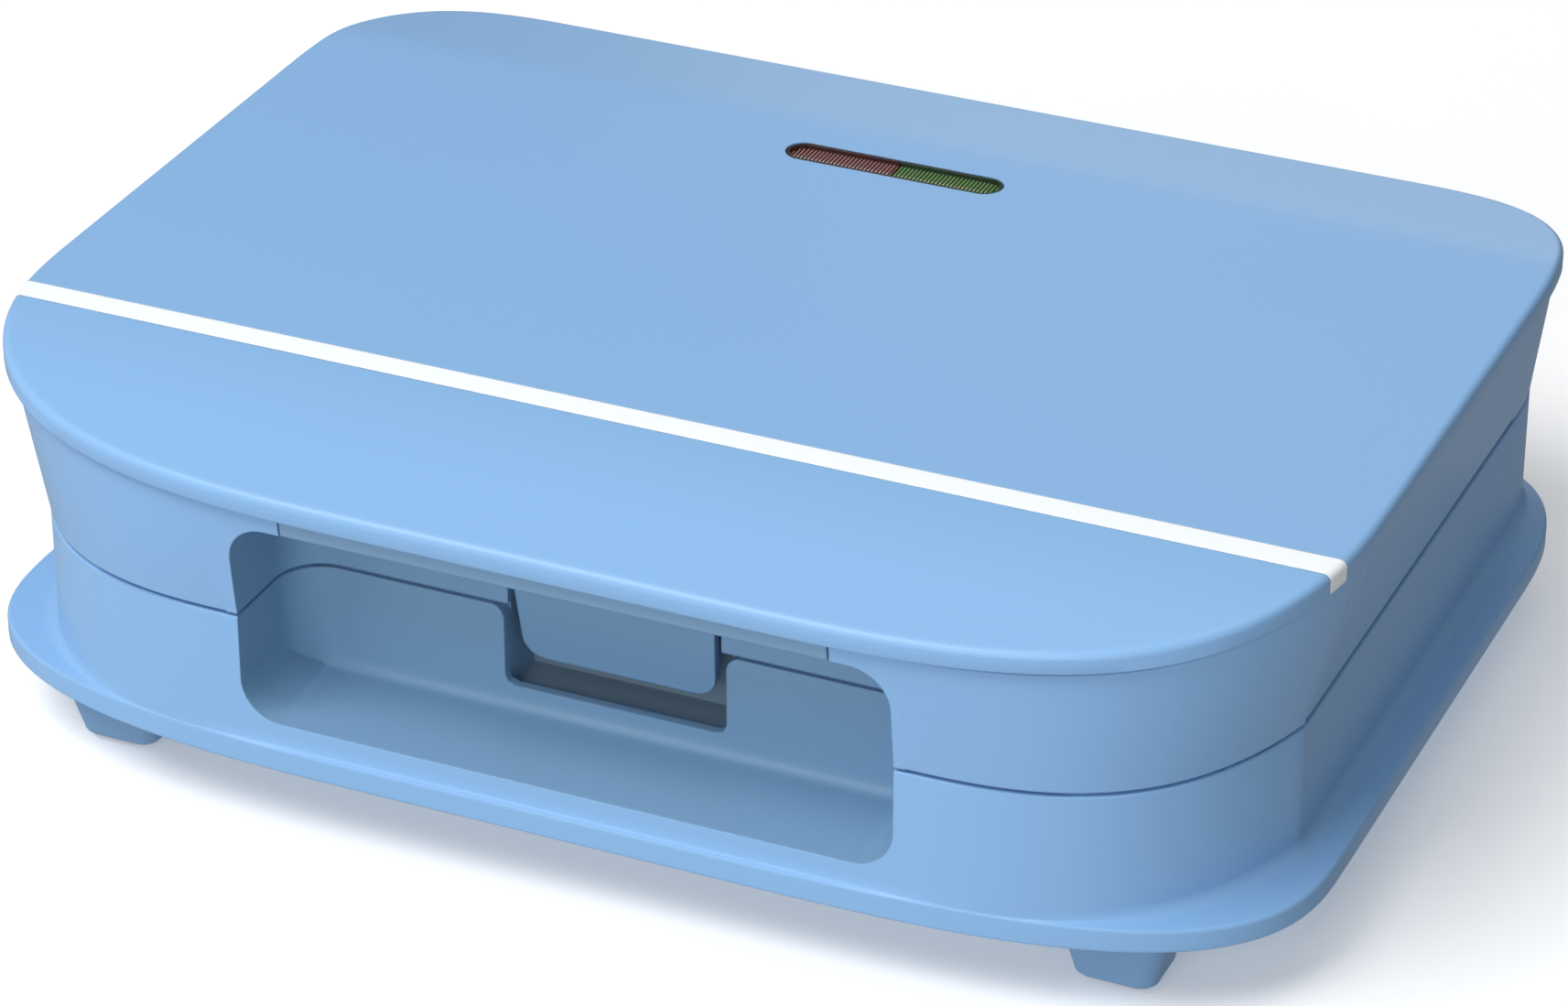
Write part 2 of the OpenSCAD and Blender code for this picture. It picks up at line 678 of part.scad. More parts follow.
// Band round the cover that the stripe fills
module stripe_band(play) {
    difference() {
        intersection() {
            cover_form(0, lip_h);
            box([-half_w - 1, stripe_y - play, 0], [half_w + 1, stripe_y + stripe_w + play, top_z + 1]);
        }
        cover_form(stripe_t + play, lip_h + 3);
    }
}

module lid_cover() {
    color(blue) difference() {
        union() {
            difference() {
                cover_form(0, lip_h);
                cover_hollow();
            }
            for (p = case_bosses) intersection() {
                translate([p[0], p[1], boss_top]) cylinder(h = 20, r = boss_r);
                under_crown(1.2);
            }
            for (p = pan_posts) translate([p[0], p[1], lid_z - pan_z])
                cylinder(h = top_z - cover_t - lid_z + pan_z + 0.5, r = post_r);
        }
        stripe_band(0.05);
        translate([0, window_y, 0]) pill(window_l, window_w, top_z - 6, top_z + 1);
        for (p = case_bosses) translate([p[0], p[1], boss_top - 1]) cylinder(h = 8, r = pilot_r);
    }
}

module trim_stripe() {
    color(white) stripe_band(0);
}

// One half of the indicator lens, ribbed on top, with a foot that sits under the cover
module lens(s) {
    x0 = s > 0 ? 0.1 : -window_l;
    x1 = s > 0 ? window_l : -0.1;
    rib_pitch = 1.9;
    translate([0, window_y, 0]) intersection() {
        difference() {
            union() {
                pill(window_l - 0.5, window_w - 0.5, top_z - cover_t - 1, top_z - 0.9);
                pill(window_l + 3, window_w + 3, top_z - cover_t - 1.2, top_z - cover_t - 0.05);
            }
            for (x = [rib_pitch / 2:rib_pitch:window_l / 2]) translate([s * x, 0, top_z - 0.6])
                rotate([90, 0, 0]) cylinder(h = window_w, r = 0.7, center = true, $fn = 4);
        }
        box([x0, -window_w, 0], [x1, window_w, top_z]);
    }
}

module lens_red() { color([0.45, 0.06, 0.06]) lens(-1); }
module lens_green() { color([0.05, 0.3, 0.12]) lens(1); }

// Neon lamp that lies under its lens
module lamp(s) {
    translate([s * lamp_x, window_y, lamp_z]) rotate([0, s * -90, 0]) {
        translate([0, 0, -5]) cylinder(h = 10, r = lamp_r);
        translate([0, 0, 5]) sphere(lamp_r);
        for (y = [-1, 1]) translate([0, y, -9]) cylinder(h = 5, r = 0.4);
    }
}

module lamp_red() { color([0.85, 0.3, 0.2]) lamp(-1); }
module lamp_green() { color([0.3, 0.75, 0.4]) lamp(1); }

module lamp_holder() {
    z1 = top_z - cover_t - 1.2;
    color(white) translate([0, window_y, 0]) difference() {
        pill(window_l + 6, window_w + 5, z1 - 6.6, z1);
        difference() {
            pill(window_l + 3, window_w + 2, z1 - 5.8, z1 + 1);
            box([-0.6, -20, z1 - 6], [0.6, 20, z1]);
            for (s = [-1, 1]) box([s * lamp_x - 3, -20, z1 - 6], [s * lamp_x + 3, 20, lamp_z - lamp_r]);
        }
        for (s = [-1, 1]) box([s * 23 - 4, -2.2, z1 - 5.2], [s * 23 + 4, 2.2, z1 - 1.8]);
    }
}

module upper_plate() { on_lid() donut_plate(); }
module upper_element() { on_lid() heating_element(); }
module upper_reflector() { on_lid() reflector_pan(); }
module upper_plate_screws() { on_lid() plate_screws(); }

module lid_leads() {
    pin_z = lid_z - element_z;
    lamp_wire = lamp_x + 9.1;
    color([0.8, 0.2, 0.15]) lead([[element_pin, plate_y + element_bend_r, pin_z],
        [106, 26, pin_z], [106, 68, lamp_z], [-32, 68, lamp_z], [-32, window_y + 1, lamp_z],
        [-lamp_wire, window_y + 1, lamp_z]], 0.9);
    color([0.9, 0.9, 0.92]) lead([[element_pin, plate_y - element_bend_r, pin_z],
        [109, 2, pin_z], [109, window_y, lamp_z], [34, window_y - 1, lamp_z],
        [lamp_wire, window_y - 1, lamp_z]], 0.9);
}

module lid_screws() {
    for (p = case_bosses) translate([p[0], p[1], lid_z + 15]) screw(11);
}

// ---------- latch ----------

// Points of an arc from angle a0 to a1
function arc(cx, cy, r, a0, a1, n = 8) =
    [for (k = [0:n]) let (a = a0 + (a1 - a0) * k / n) [cx + r * cos(a), cy + r * sin(a)]];

// Outline of the tab in its own plane, from the web down to its rounded tip
module tab_outline() {
    tip_r = 4.5;
    tip_x = tab_half_w[1] - tip_r;
    polygon(concat([[-tab_half_w[0], 0], [tab_half_w[0], 0]],
        arc(tip_x, -tab_l + tip_r, tip_r, 0, -90),
        arc(-tip_x, -tab_l + tip_r, tip_r, -90, -180)));
}

module latch() {
    color(blue) difference() {
        union() {
            // strip that closes the recess's upper edge, and the barrel behind it
            along_x(-strip_half_w, strip_half_w)
                polygon([[-99.2, recess_top + 0.1], [-99.7, 68.9], [-97.6, 68.9], [latch_y, latch_z + 1],
                         [latch_y, recess_top + 0.1]]);
            translate([-strip_half_w, latch_y, latch_z]) rotate([0, 90, 0])
                cylinder(h = 2 * strip_half_w, r = latch_barrel_r);
            // web to the tab, stiffened by two ribs
            box([-tab_half_w[0], latch_y, recess_top + 0.1],
                [tab_half_w[0], tab_top[0] + 2.6, recess_top + 2.1]);
            for (x = [-12, 12]) along_x(x - 0.8, x + 0.8)
                polygon([[latch_y, latch_z + 1.5], [-72.6, recess_top + 3], [-72.6, recess_top + 1],
                         [latch_y, latch_z - 2]]);
            // leaning tab
            translate([0, tab_top[0], tab_top[1]]) rotate([tab_lean, 0, 0]) rotate([90, 0, 0])
                translate([0, 0, -tab_t]) linear_extrude(tab_t) tab_outline();
            // hook behind the tip
            along_x(-13, 13) polygon([[-70.2, 34.2], [-66, 35.4], [-66, 36.6], [-70.4, 37.2]]);
        }
        translate([-reach / 2, latch_y, latch_z]) rotate([0, 90, 0])
            cylinder(h = reach, r = latch_pin_r + running_fit);
    }
}

module latch_pin() {
    color(steel) translate([-57.5, latch_y, latch_z]) rotate([0, 90, 0]) cylinder(h = 115, r = latch_pin_r);
}

base_shell();
bottom_cover();
foot_front_left();
foot_front_right();
foot_rear_left();
foot_rear_right();
foot_pads();
lower_plate();
lower_element();
lower_reflector();
lower_plate_screws();
thermostat();
thermal_fuse();
terminal_block();
base_leads();
bottom_screws();
cord_gland();
hinge_pin_left();
hinge_pin_right();
lid_shell();
lid_cover();
trim_stripe();
lens_red();
lens_green();
lamp_red();
lamp_green();
lamp_holder();
upper_plate();
upper_element();
upper_reflector();
upper_plate_screws();
lid_leads();
lid_screws();
latch();
latch_pin();
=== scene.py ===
# %% [markdown]
# # A countertop donut maker
# The object is a small hinged appliance: a pale blue housing in two halves, a crowned lid with a
# white inlay stripe, a finger recess with a pull latch, and two non-stick plates with six rings.
# The packed model is loaded first, and everything after it is measured from it, in metres.

# %% Load the frame
import math
import bpy
import numpy as np
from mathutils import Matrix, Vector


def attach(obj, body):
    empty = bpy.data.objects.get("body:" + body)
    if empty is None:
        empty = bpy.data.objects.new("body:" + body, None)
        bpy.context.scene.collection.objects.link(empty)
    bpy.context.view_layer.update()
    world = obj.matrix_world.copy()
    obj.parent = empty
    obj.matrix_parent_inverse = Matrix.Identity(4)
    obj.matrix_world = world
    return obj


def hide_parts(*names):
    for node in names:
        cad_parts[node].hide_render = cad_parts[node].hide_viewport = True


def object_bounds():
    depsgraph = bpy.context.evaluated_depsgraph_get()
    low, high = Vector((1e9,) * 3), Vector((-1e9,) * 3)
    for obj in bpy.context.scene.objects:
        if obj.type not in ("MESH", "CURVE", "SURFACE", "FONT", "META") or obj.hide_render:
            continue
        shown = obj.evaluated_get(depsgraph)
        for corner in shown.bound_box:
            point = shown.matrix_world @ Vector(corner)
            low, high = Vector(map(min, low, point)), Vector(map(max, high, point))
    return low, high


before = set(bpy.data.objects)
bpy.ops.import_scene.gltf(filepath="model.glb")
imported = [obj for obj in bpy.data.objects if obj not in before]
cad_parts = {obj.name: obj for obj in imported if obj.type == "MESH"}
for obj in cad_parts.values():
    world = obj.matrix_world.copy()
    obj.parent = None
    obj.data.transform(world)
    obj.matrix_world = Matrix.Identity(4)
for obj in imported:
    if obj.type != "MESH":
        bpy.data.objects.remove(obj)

cad_low, cad_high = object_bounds()
MM = 0.001
print("CAD box in mm:", [round(1000 * c, 1) for c in (*cad_low, *cad_high)])

# %% [markdown]
# The camera stands to the right of the front and looks down on the lid. A long lens keeps the
# edges nearly parallel, as product pictures do. It is aimed with a look-at rotation, so that its
# place and its target are the only numbers.

# %% Camera
from mathutils import Vector

CAMERA_PLACE = Vector((376.7, -848.6, 556.2)) * MM
CAMERA_TARGET = Vector((34.5, -75.1, 80.0)) * MM
camera = bpy.data.objects.new("camera", bpy.data.cameras.new("camera"))
bpy.context.scene.collection.objects.link(camera)
camera.data.sensor_width = 36.0
camera.data.lens = 127.1
camera.data.clip_start, camera.data.clip_end = 0.01, 20.0
camera.location = CAMERA_PLACE
camera.rotation_euler = (CAMERA_TARGET - CAMERA_PLACE).to_track_quat("-Z", "Y").to_euler()
bpy.context.scene.camera = camera
bpy.context.scene.view_settings.view_transform = "Standard"
print("camera distance in mm:", round((CAMERA_TARGET - CAMERA_PLACE).length / MM))

# %% [markdown]
# Shader maths is easier to read as expressions than as boxes and wires. A Wire wraps one output
# socket, and its operators add the Math nodes, so `1 - mask` or `grain * 0.3` can be written as is.
# Wires carry numbers here: a Math node would turn a colour grey.

# %% Wires
class Wire:
    """One output socket; arithmetic on it adds Math nodes and gives another Wire."""

    def __init__(self, finish, socket):
        self.finish, self.socket = finish, socket

    def maths(self, operation, *values):
        return self.finish.node("ShaderNodeMath", {"operation": operation},
                                dict(enumerate(values)))[0]

    def __add__(self, other): return self.maths("ADD", self, other)
    def __sub__(self, other): return self.maths("SUBTRACT", self, other)
    def __rsub__(self, other): return self.maths("SUBTRACT", other, self)
    def __mul__(self, other): return self.maths("MULTIPLY", self, other)
    def __pow__(self, other): return self.maths("POWER", self, other)
    __radd__, __rmul__ = __add__, __mul__

    def clamped(self): return self.maths("MINIMUM", self.maths("MAXIMUM", self, 0.0), 1.0)


print("a Wire takes + - * and **, and clamped() keeps it between 0 and 1")

# %% [markdown]
# A Finish is one material under construction. Its node method makes any node from its type, its
# settings and its sockets, and the few methods after it are the nodes that most finishes need:
# object coordinates, noise, a blend of two colours, and bump. What is the same all over a surface
# is set on the shader's own sockets.

# %% A finish
class Finish:
    """A material under construction, with one Principled shader."""

    def __init__(self, name, colour, roughness, **uniform):
        self.material = bpy.data.materials.new(name)
        self.material.use_nodes = True
        self.tree = self.material.node_tree
        self.shader = self.tree.nodes["Principled BSDF"]
        self.set("Base Color", (*colour, 1.0))
        self.set("Roughness", roughness)
        for socket, value in uniform.items():
            self.set(socket.replace("_", " "), value)
        self.material.diffuse_color = (*colour, 1.0)

    def set(self, socket, value):
        """A value or a Wire into one of the shader's own sockets."""
        self.put(self.shader.inputs[socket], value)

    def put(self, socket, value):
        """A link for a Wire, a plain value for anything else."""
        if isinstance(value, Wire):
            self.tree.links.new(value.socket, socket)
        else:
            socket.default_value = value

    def node(self, kind, settings=None, sockets=None):
        """A node of this type: settings first, then sockets. Returns its outputs as Wires."""
        made = self.tree.nodes.new(kind)
        for name, value in (settings or {}).items():
            if name == "stops":
                ramp = made.color_ramp.elements
                while len(ramp) < len(value):
                    ramp.new(0.5)
                for element, (place, colour) in zip(ramp, value):
                    element.position, element.color = place, colour
            else:
                setattr(made, name, value)
        for key, value in (sockets or {}).items():
            self.put(made.inputs[key], value)
        return {**{o.name: Wire(self, o) for o in made.outputs},
                **{i: Wire(self, o) for i, o in enumerate(made.outputs)}}

    def place(self, scale=(1.0, 1.0, 1.0)):
        """Object coordinates in metres, stretched by scale."""
        here = self.node("ShaderNodeTexCoord")["Object"]
        return self.node("ShaderNodeMapping", {}, {"Vector": here, "Scale": scale})["Vector"]

    def noise(self, per_metre, detail=2.0, roughness=0.5, scale=(1.0, 1.0, 1.0)):
        """Cloudy noise from 0 to 1 with this many lumps to the metre."""
        sockets = {"Vector": self.place(scale), "Scale": per_metre, "Detail": detail,
                   "Roughness": roughness}
        return self.node("ShaderNodeTexNoise", {}, sockets)[0]

    def mix(self, factor, first, second):
        """Blend of two colours. They are the Mix node's inputs 6 and 7, and its output 2."""
        made = self.node("ShaderNodeMix", {"data_type": "RGBA"}, {0: factor, 6: first, 7: second})
        return made[2]

    def bump(self, height, distance, strength=1.0, edge=0.0):
        """Normals from a height, with softened edges where edge is a radius in metres."""
        sockets = {"Height": height, "Distance": distance, "Strength": strength}
        if edge:
            sockets["Normal"] = self.node("ShaderNodeBevel", {"samples": 4}, {"Radius": edge})[0]
        self.set("Normal", self.node("ShaderNodeBump", {}, sockets)["Normal"])


print("finish methods:", [name for name in vars(Finish) if not name.startswith("_")])

# %% [markdown]
# Colours are easiest to judge as a screen shows them, from 0 to 255, but light adds up on a linear
# scale, and that is what shaders use. Many finishes blend a lighter and a darker tint of one colour.

# %% Colours
def srgb(r, g, b):
    """A screen colour from 0 to 255 as the linear colour that shaders use."""
    c = np.array([r, g, b]) / 255.0
    return tuple(float(x) for x in np.where(c <= 0.04045, c / 12.92, ((c + 0.055) / 1.055) ** 2.4))


def tint(colour, factor=1.0):
    """A colour made lighter or darker, with the alpha that colour sockets want."""
    return tuple(min(1.0, factor * c) for c in colour) + (1.0,)


print("mid grey on a screen is", round(srgb(128, 128, 128)[0], 3), "in linear light")

# %% [markdown]
# The housing is injection-moulded plastic in one pale blue. Its outside is satin: a broad soft
# reflection, a very faint orange-peel ripple, and colour that drifts by a percent or two over the
# part. The same plastic has a fine spark-eroded grain where the mould was left rough: on the feet,
# in the finger recess with its latch, and in the latch's pocket. Each of these is given a darker
# colour. On the feet and in the pocket that is painted shade. In the recess it is partly the
# grain's greyer look and partly painted shade.
# All four finishes come from one function. Its grain runs from 0, satin, to 1, spark-eroded, and
# its edge is the radius in metres by which the light softens every edge.

# %% Blue plastic
DRIFT, MOTTLE, PEEL, SPECKLE = 9.0, 260.0, 420.0, 2600.0     # lumps to the metre
GRAIN_DEPTH = 0.06 * MM


def blue_plastic(name, colour, grain, roughness, edge):
    """Slow drift and fine mottle tint the colour; peel and speckle roughen the surface."""
    made = Finish(name, colour, roughness, Specular_IOR_Level=0.5, IOR=1.4)
    drift = made.noise(DRIFT, 1.0)
    mottle = made.noise(MOTTLE, 3.0)
    tone = (drift - 0.5) * 0.10 + (mottle - 0.5) * 0.05 + 0.5
    made.set("Base Color", made.mix(tone.clamped(), tint(colour, 0.93), tint(colour, 1.05)))
    speckle = made.noise(SPECKLE, 2.0, 0.7)
    made.set("Roughness", (roughness + (speckle - 0.5) * 0.10 + (drift - 0.5) * 0.04).clamped())
    peel = made.noise(PEEL, 2.0)
    height = peel * (0.35 - 0.3 * grain) + speckle * grain
    made.bump(height, GRAIN_DEPTH, 0.35 + 0.4 * grain, edge)
    return made.material


satin_blue = blue_plastic("satin_blue_plastic", srgb(137, 181, 225), 0.0, 0.34, 0.00045)
# the feet's finish: spark-eroded grain, in a darker colour that is painted shade
grained_blue_painted_shade = blue_plastic("grained_blue_plastic_painted_shade", srgb(119, 159, 199), 1.0, 0.5, 0.0004)
# the recess's finish: grain, in a greyer, darker colour that is partly the grain's look and partly
# painted shade
recess_grained_painted_shade = blue_plastic("recess_grained_plastic_painted_shade", srgb(125, 163, 195), 1.0, 0.34, 0.0006)
# the pocket's finish: grain, in a much darker colour that is painted shade
pocket_blue_painted_shade = blue_plastic("pocket_blue_plastic_painted_shade", srgb(126, 149, 168), 1.0, 0.5, 0.0004)
print("blue plastics:", satin_blue.name, grained_blue_painted_shade.name, recess_grained_painted_shade.name, pocket_blue_painted_shade.name)

# %% [markdown]
# The smaller parts are of plain materials: a glossy white stripe, matt white ceramic, grey-blue
# rubber, red lead insulation and clear lamp glass. One function makes them all. It takes a colour
# and lets it, the gloss and the surface drift a little, because nothing real is quite even.

# %% Plain finishes
def plain(name, colour, roughness, lumps, depth, spread=0.08, edge=0.0003, **uniform):
    """A solid-colour finish with slight drift in colour, gloss and surface."""
    made = Finish(name, colour, roughness, **uniform)
    cloud = made.noise(lumps, 3.0)
    made.set("Base Color", made.mix(cloud, tint(colour, 1 - spread), tint(colour, 1 + spread)))
    made.set("Roughness", (roughness + (cloud - 0.5) * 0.15).clamped())
    made.bump(made.noise(lumps * 6, 2.0), depth, 0.5, edge)
    return made


white_gloss = plain("white_gloss", srgb(249, 253, 254), 0.25, 180.0, 0.00001, 0.01).material
white_matt = plain("white_matt", srgb(228, 229, 224), 0.55, 300.0, 0.00003, 0.04).material
rubber = plain("grey_rubber", srgb(70, 82, 96), 0.8, 400.0, 0.00005, 0.15).material
insulation = plain("lead_insulation", srgb(190, 60, 48), 0.45, 250.0, 0.00002, 0.1).material
glass = plain("lamp_glass", srgb(240, 226, 210), 0.08, 90.0, 0.00001, 0.03, 0.0,
              Transmission_Weight=0.85, IOR=1.48).material
print("plain finishes made:", white_gloss.name, white_matt.name, rubber.name, insulation.name,
      glass.name)

# %% [markdown]
# Heating elements, reflectors and screws are metal. Rolling and drawing leave fine lines along one
# way, so their noise is stretched along one axis. The plates are cast aluminium under a black
# non-stick coating, which carries a fine light fleck. Cell noise gives the flecks, because its
# distance is zero at scattered points, and a steep ramp keeps only what lies next to them.

# %% Metals and coating
def metal(name, colour, roughness, stretch):
    """Rolled or drawn metal: fine lines along one way, cloudier roughness across it."""
    made = Finish(name, colour, roughness, Metallic=1.0)
    lines = made.noise(900.0, 3.0, 0.6, stretch)
    cloud = made.noise(60.0, 3.0)
    made.set("Roughness", (roughness + (lines - 0.5) * 0.2 + (cloud - 0.5) * 0.15).clamped())
    made.set("Base Color", made.mix(cloud, tint(colour, 0.85), tint(colour)))
    made.bump(lines, 0.00002, 0.4, 0.0003)
    return made.material


bright_steel = metal("bright_steel", (0.62, 0.63, 0.65), 0.32, (0.15, 1.0, 1.0))
zinc_steel = metal("zinc_steel", (0.5, 0.51, 0.53), 0.42, (1.0, 1.0, 0.3))


def nonstick():
    """Black fluoropolymer on cast aluminium, with a fine light fleck and a soft sheen."""
    black, grey, fleck_size = (0.012, 0.012, 0.013), (0.09, 0.09, 0.095), 0.16
    made = Finish("nonstick_coating", black, 0.38, Specular_IOR_Level=0.55)
    fleck = made.node("ShaderNodeTexVoronoi", {"feature": "F1"},
                      {"Vector": made.place(), "Scale": 900.0})["Distance"]
    stops = [(0.0, (1, 1, 1, 1)), (fleck_size, (0, 0, 0, 1))]
    sparkle = made.node("ShaderNodeValToRGB", {"stops": stops}, {"Fac": fleck})["Color"]
    cloud = made.noise(140.0, 3.0)
    made.set("Base Color", made.mix(sparkle, tint(black), tint(grey)))
    made.set("Roughness", (0.34 + (cloud - 0.5) * 0.2).clamped())
    made.bump(made.noise(1500.0, 2.0), 0.00003, 0.5, 0.0005)
    return made.material


black_coating = nonstick()
print("metals and coating made:", bright_steel.name, zinc_steel.name, black_coating.name)

# %% [markdown]
# The indicator's two lenses are tinted plastic, dark while their lamps are off. Their floors have
# fine ribs. A wave texture with the ribs' own pitch paints highlights on the crests, as if they
# caught the light, and the painted highlight is brighter on the half towards the front. One band of
# its wave is as wide as one rib, when its scale is pi / 10 divided by the pitch.

# %% Lens finishes
RIB, WINDOW_Y = 0.8, 56.4
# where the painted highlight on the crests starts to brighten towards the front, and over how far, in
# mm
HIGHLIGHT_FROM, HIGHLIGHT_OVER = WINDOW_Y - 0.3, 0.35


def lens_finishes(name, colour, crest_highlight):
    """Tinted plastic for a lens tray, and the same with painted highlights on the crests where its ribs
    turn over.
    """
    tray = plain(f"{name}_tray", tuple(0.55 * c for c in colour), 0.22, 400.0, 0.00001, 0.1, 0.0002)
    made = Finish(f"{name}_ribs", colour, 0.2, Specular_IOR_Level=0.6)
    wave = made.node("ShaderNodeTexWave", {"bands_direction": "X", "wave_profile": "TRI"},
                     {"Vector": made.place(), "Scale": math.pi / 10 / (RIB * MM)})["Fac"]
    along = made.node("ShaderNodeSeparateXYZ", {}, {"Vector": made.place()})["Y"]
    front = ((HIGHLIGHT_FROM * MM - along) * (1 / (HIGHLIGHT_OVER * MM))).clamped()
    # painted highlights: the crests get a light colour, lighter still towards the front
    crest = wave ** 3.0
    painted_highlight = made.mix(front, tint(crest_highlight), tint(crest_highlight, 2.2))
    made.set("Base Color", made.mix(crest, tint(colour), painted_highlight))
    made.set("Roughness", 0.2 + crest * 0.2)
    return tray.material, made.material


red_tray, red_ribs_painted_highlight = lens_finishes("red_lens", (0.055, 0.012, 0.013), srgb(222, 170, 166))
green_tray, green_ribs_painted_highlight = lens_finishes("green_lens", (0.014, 0.045, 0.016), srgb(168, 212, 132))
print("lens finishes made:", red_ribs_painted_highlight.name, green_ribs_painted_highlight.name)

# %% [markdown]
# Every node gets its finish by name. Most keep the mesh that they were packed with, because their
# shape is right as it is. The housing, the stripe, the lenses and the feet are replaced further
# down, and have a finish here as well, so that no node is ever without one.

# %% Finishes on the packed nodes
FINISHES = {
    grained_blue_painted_shade: ["foot_front_left", "foot_front_right", "foot_rear_left", "foot_rear_right"],
    satin_blue: ["base_shell", "bottom_cover", "lid_shell", "lid_cover"],
    # the latch sits in the recess and gets its darker finish, partly painted shade
    recess_grained_painted_shade: ["latch"],
    white_gloss: ["trim_stripe"],
    white_matt: ["lamp_holder", "terminal_block"],
    red_tray: ["lens_red"],
    green_tray: ["lens_green"],
    black_coating: ["lower_plate", "upper_plate"],
    bright_steel: ["lower_element", "upper_element", "lower_reflector", "upper_reflector",
                   "thermostat", "thermal_fuse"],
    zinc_steel: ["lower_plate_screws", "upper_plate_screws", "bottom_screws", "lid_screws",
                 "hinge_pin_left", "hinge_pin_right", "latch_pin"],
    rubber: ["foot_pads", "cord_gland"],
    insulation: ["base_leads", "lid_leads"],
    glass: ["lamp_red", "lamp_green"],
}
for finish, names in FINISHES.items():
    for name in names:
        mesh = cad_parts[name].data
        mesh.materials.clear()
        mesh.materials.append(finish)
print("nodes with a finish:", sum(len(names) for names in FINISHES.values()))

# %% [markdown]
# The housing's outside is seen close up, so its halves are worked out again as smooth, dense
# surfaces over the same dimensions. Every horizontal section is one outline: a half width, a front
# and a rear, and two kinds of corner. A corner is a superellipse, x = a sin(t)^(2/n) and
# y = b cos(t)^(2/n), which turns more gently than a circle. The wall's front corners stop at 65
# degrees and meet its straight sides in a soft crease. All lengths here are in millimetres.

# %% Outlines
# Half width, front, rear, front corner (across, along, n, last angle), rear corner (across, along, n)
LID = (132.5, -101.75, 101.75, (96.6, 67.9, 2.92, 90), (41.9, 53.0, 3.0))
WALL = (125.3, -96.4, 96.4, (60.2, 42.3, 2.8, 65), (23.0, 29.0, 3.0))
FLANGE = (132.9, -97.8, 99.5, (100.0, 47.3, 2.97, 90), (36.0, 44.0, 2.8))
CREASE_BAND = 0.006     # share of the side next to each corner that keeps the shading crisp


def outline(kind, inset=0.0, steps=40, side=12):
    """Right half of a section from the front middle round to the rear: corner, side, corner.
    Corners are w - a + a sin(t)^(2/n) across and front + b - b cos(t)^(2/n) along. A front corner
    that stops short of 90 degrees is stretched to the same reach, and meets the side in a crease."""
    width, front, rear, (fx, fy, fn, turn), (rx, ry, rn) = kind
    width, front, rear = width - inset, front + inset, rear - inset
    fx, fy, rx, ry = fx - inset, fy - inset, rx - inset, ry - inset
    t = np.linspace(0.0, math.radians(turn), steps + 1)
    across, along = np.sin(t) ** (2 / fn), 1 - np.cos(t) ** (2 / fn)
    near = np.c_[width - fx + fx * across / across[-1], front + fy * along / along[-1]]
    t = np.linspace(0.0, math.pi / 2, steps + 1)
    far = np.c_[width - rx + rx * np.cos(t) ** (2 / rn), rear - ry + ry * np.sin(t) ** (2 / rn)]
    middle = np.linspace(0.0, 1.0, side)[1:-1]
    way = np.concatenate([[CREASE_BAND], middle, [1 - CREASE_BAND]])[:, None]
    return np.vstack([near, near[-1] * (1 - way) + far[0] * way, far])


print("points in a half outline:", len(outline(LID)))

# %% [markdown]
# The lid's top is level in the middle and falls away in front and behind. Each fall starts with a
# parabola, so that no line shows where it leaves the level, and goes on as a straight slope.

# %% Crown
# Where the top starts to fall, where it has its full slope, and that slope
CROWN_FRONT = (-54.3, -83.5, 0.192)
CROWN_REAR = (64.4, 76.1, 0.15)


def fall(y, start, full, slope):
    """Drop of a surface that bends from level at start to its slope at full, then runs straight."""
    t = np.maximum((y - start) * np.sign(full - start), 0.0)
    bend = abs(full - start)
    return slope * np.where(t < bend, t * t / (2 * bend), t - bend / 2)


def crown(y):
    """How far the lid's top lies below its level middle at depth y."""
    return fall(y, *CROWN_FRONT) + fall(y, *CROWN_REAR)


print("fall of the crown at the front and rear edge in mm:", crown(np.array([LID[1], LID[2]])).round(2))

# %% [markdown]
# A loft joins sections stacked from the bottom up. Its walls are four-sided faces between one ring
# of points and the next. Its caps are strips that run from side to side, so a crowned top stays
# exact. Everything is worked out as whole arrays and only then handed to the mesh.

# %% Lofts
def solid(name, points, faces):
    """A mesh object from points in mm, its faces turned outwards. Their side is known from the
    solid's volume, the sum of a . (b x c) over its triangles, which is negative when inside out."""
    points = np.asarray(points, float)
    fans = np.array([(f[0], f[i], f[i + 1]) for f in faces for i in range(1, len(f) - 1)])
    a, b, c = points[fans].transpose(1, 0, 2)
    outwards = (a * np.cross(b, c)).sum() > 0
    mesh = bpy.data.meshes.new(name)
    mesh.from_pydata((points * MM).tolist(), [], [f if outwards else f[::-1] for f in faces])
    made = bpy.data.objects.new(name, mesh)
    bpy.context.scene.collection.objects.link(made)
    return made


def walls_between(count, n):
    """Four-sided faces between count rings of n points each, point by point round the rings."""
    index = np.arange(count * n).reshape(count, n)
    low, high = index[:-1], index[1:]
    return np.stack([low, np.roll(low, -1, 1), np.roll(high, -1, 1), high], -1).reshape(-1, 4)


def loft(name, sections):
    """Closed solid through sections of (right half outline, heights), lowest first."""
    rings = np.array([np.vstack([np.c_[half, z], np.c_[half * (-1, 1), z][::-1]])
                      for half, z in ((h, np.broadcast_to(z, len(h))) for h, z in sections)])
    count, n, _ = rings.shape
    walls = walls_between(count, n)
    i = np.arange(n // 2 - 1)
    bottom = np.stack([i, n - 1 - i, n - 2 - i, i + 1], -1)
    top = bottom[:, ::-1] + (count - 1) * n
    return solid(name, rings.reshape(-1, 3), np.vstack([walls, bottom, top]).tolist())


print("points round a loft's section:", 2 * len(outline(WALL)))

# %% [markdown]
# A prism is an outline drawn out along one axis. Blocks, windows, knuckles and notches are prisms
# of a few outlines: a rectangle, a rectangle with round corners, and a circle.

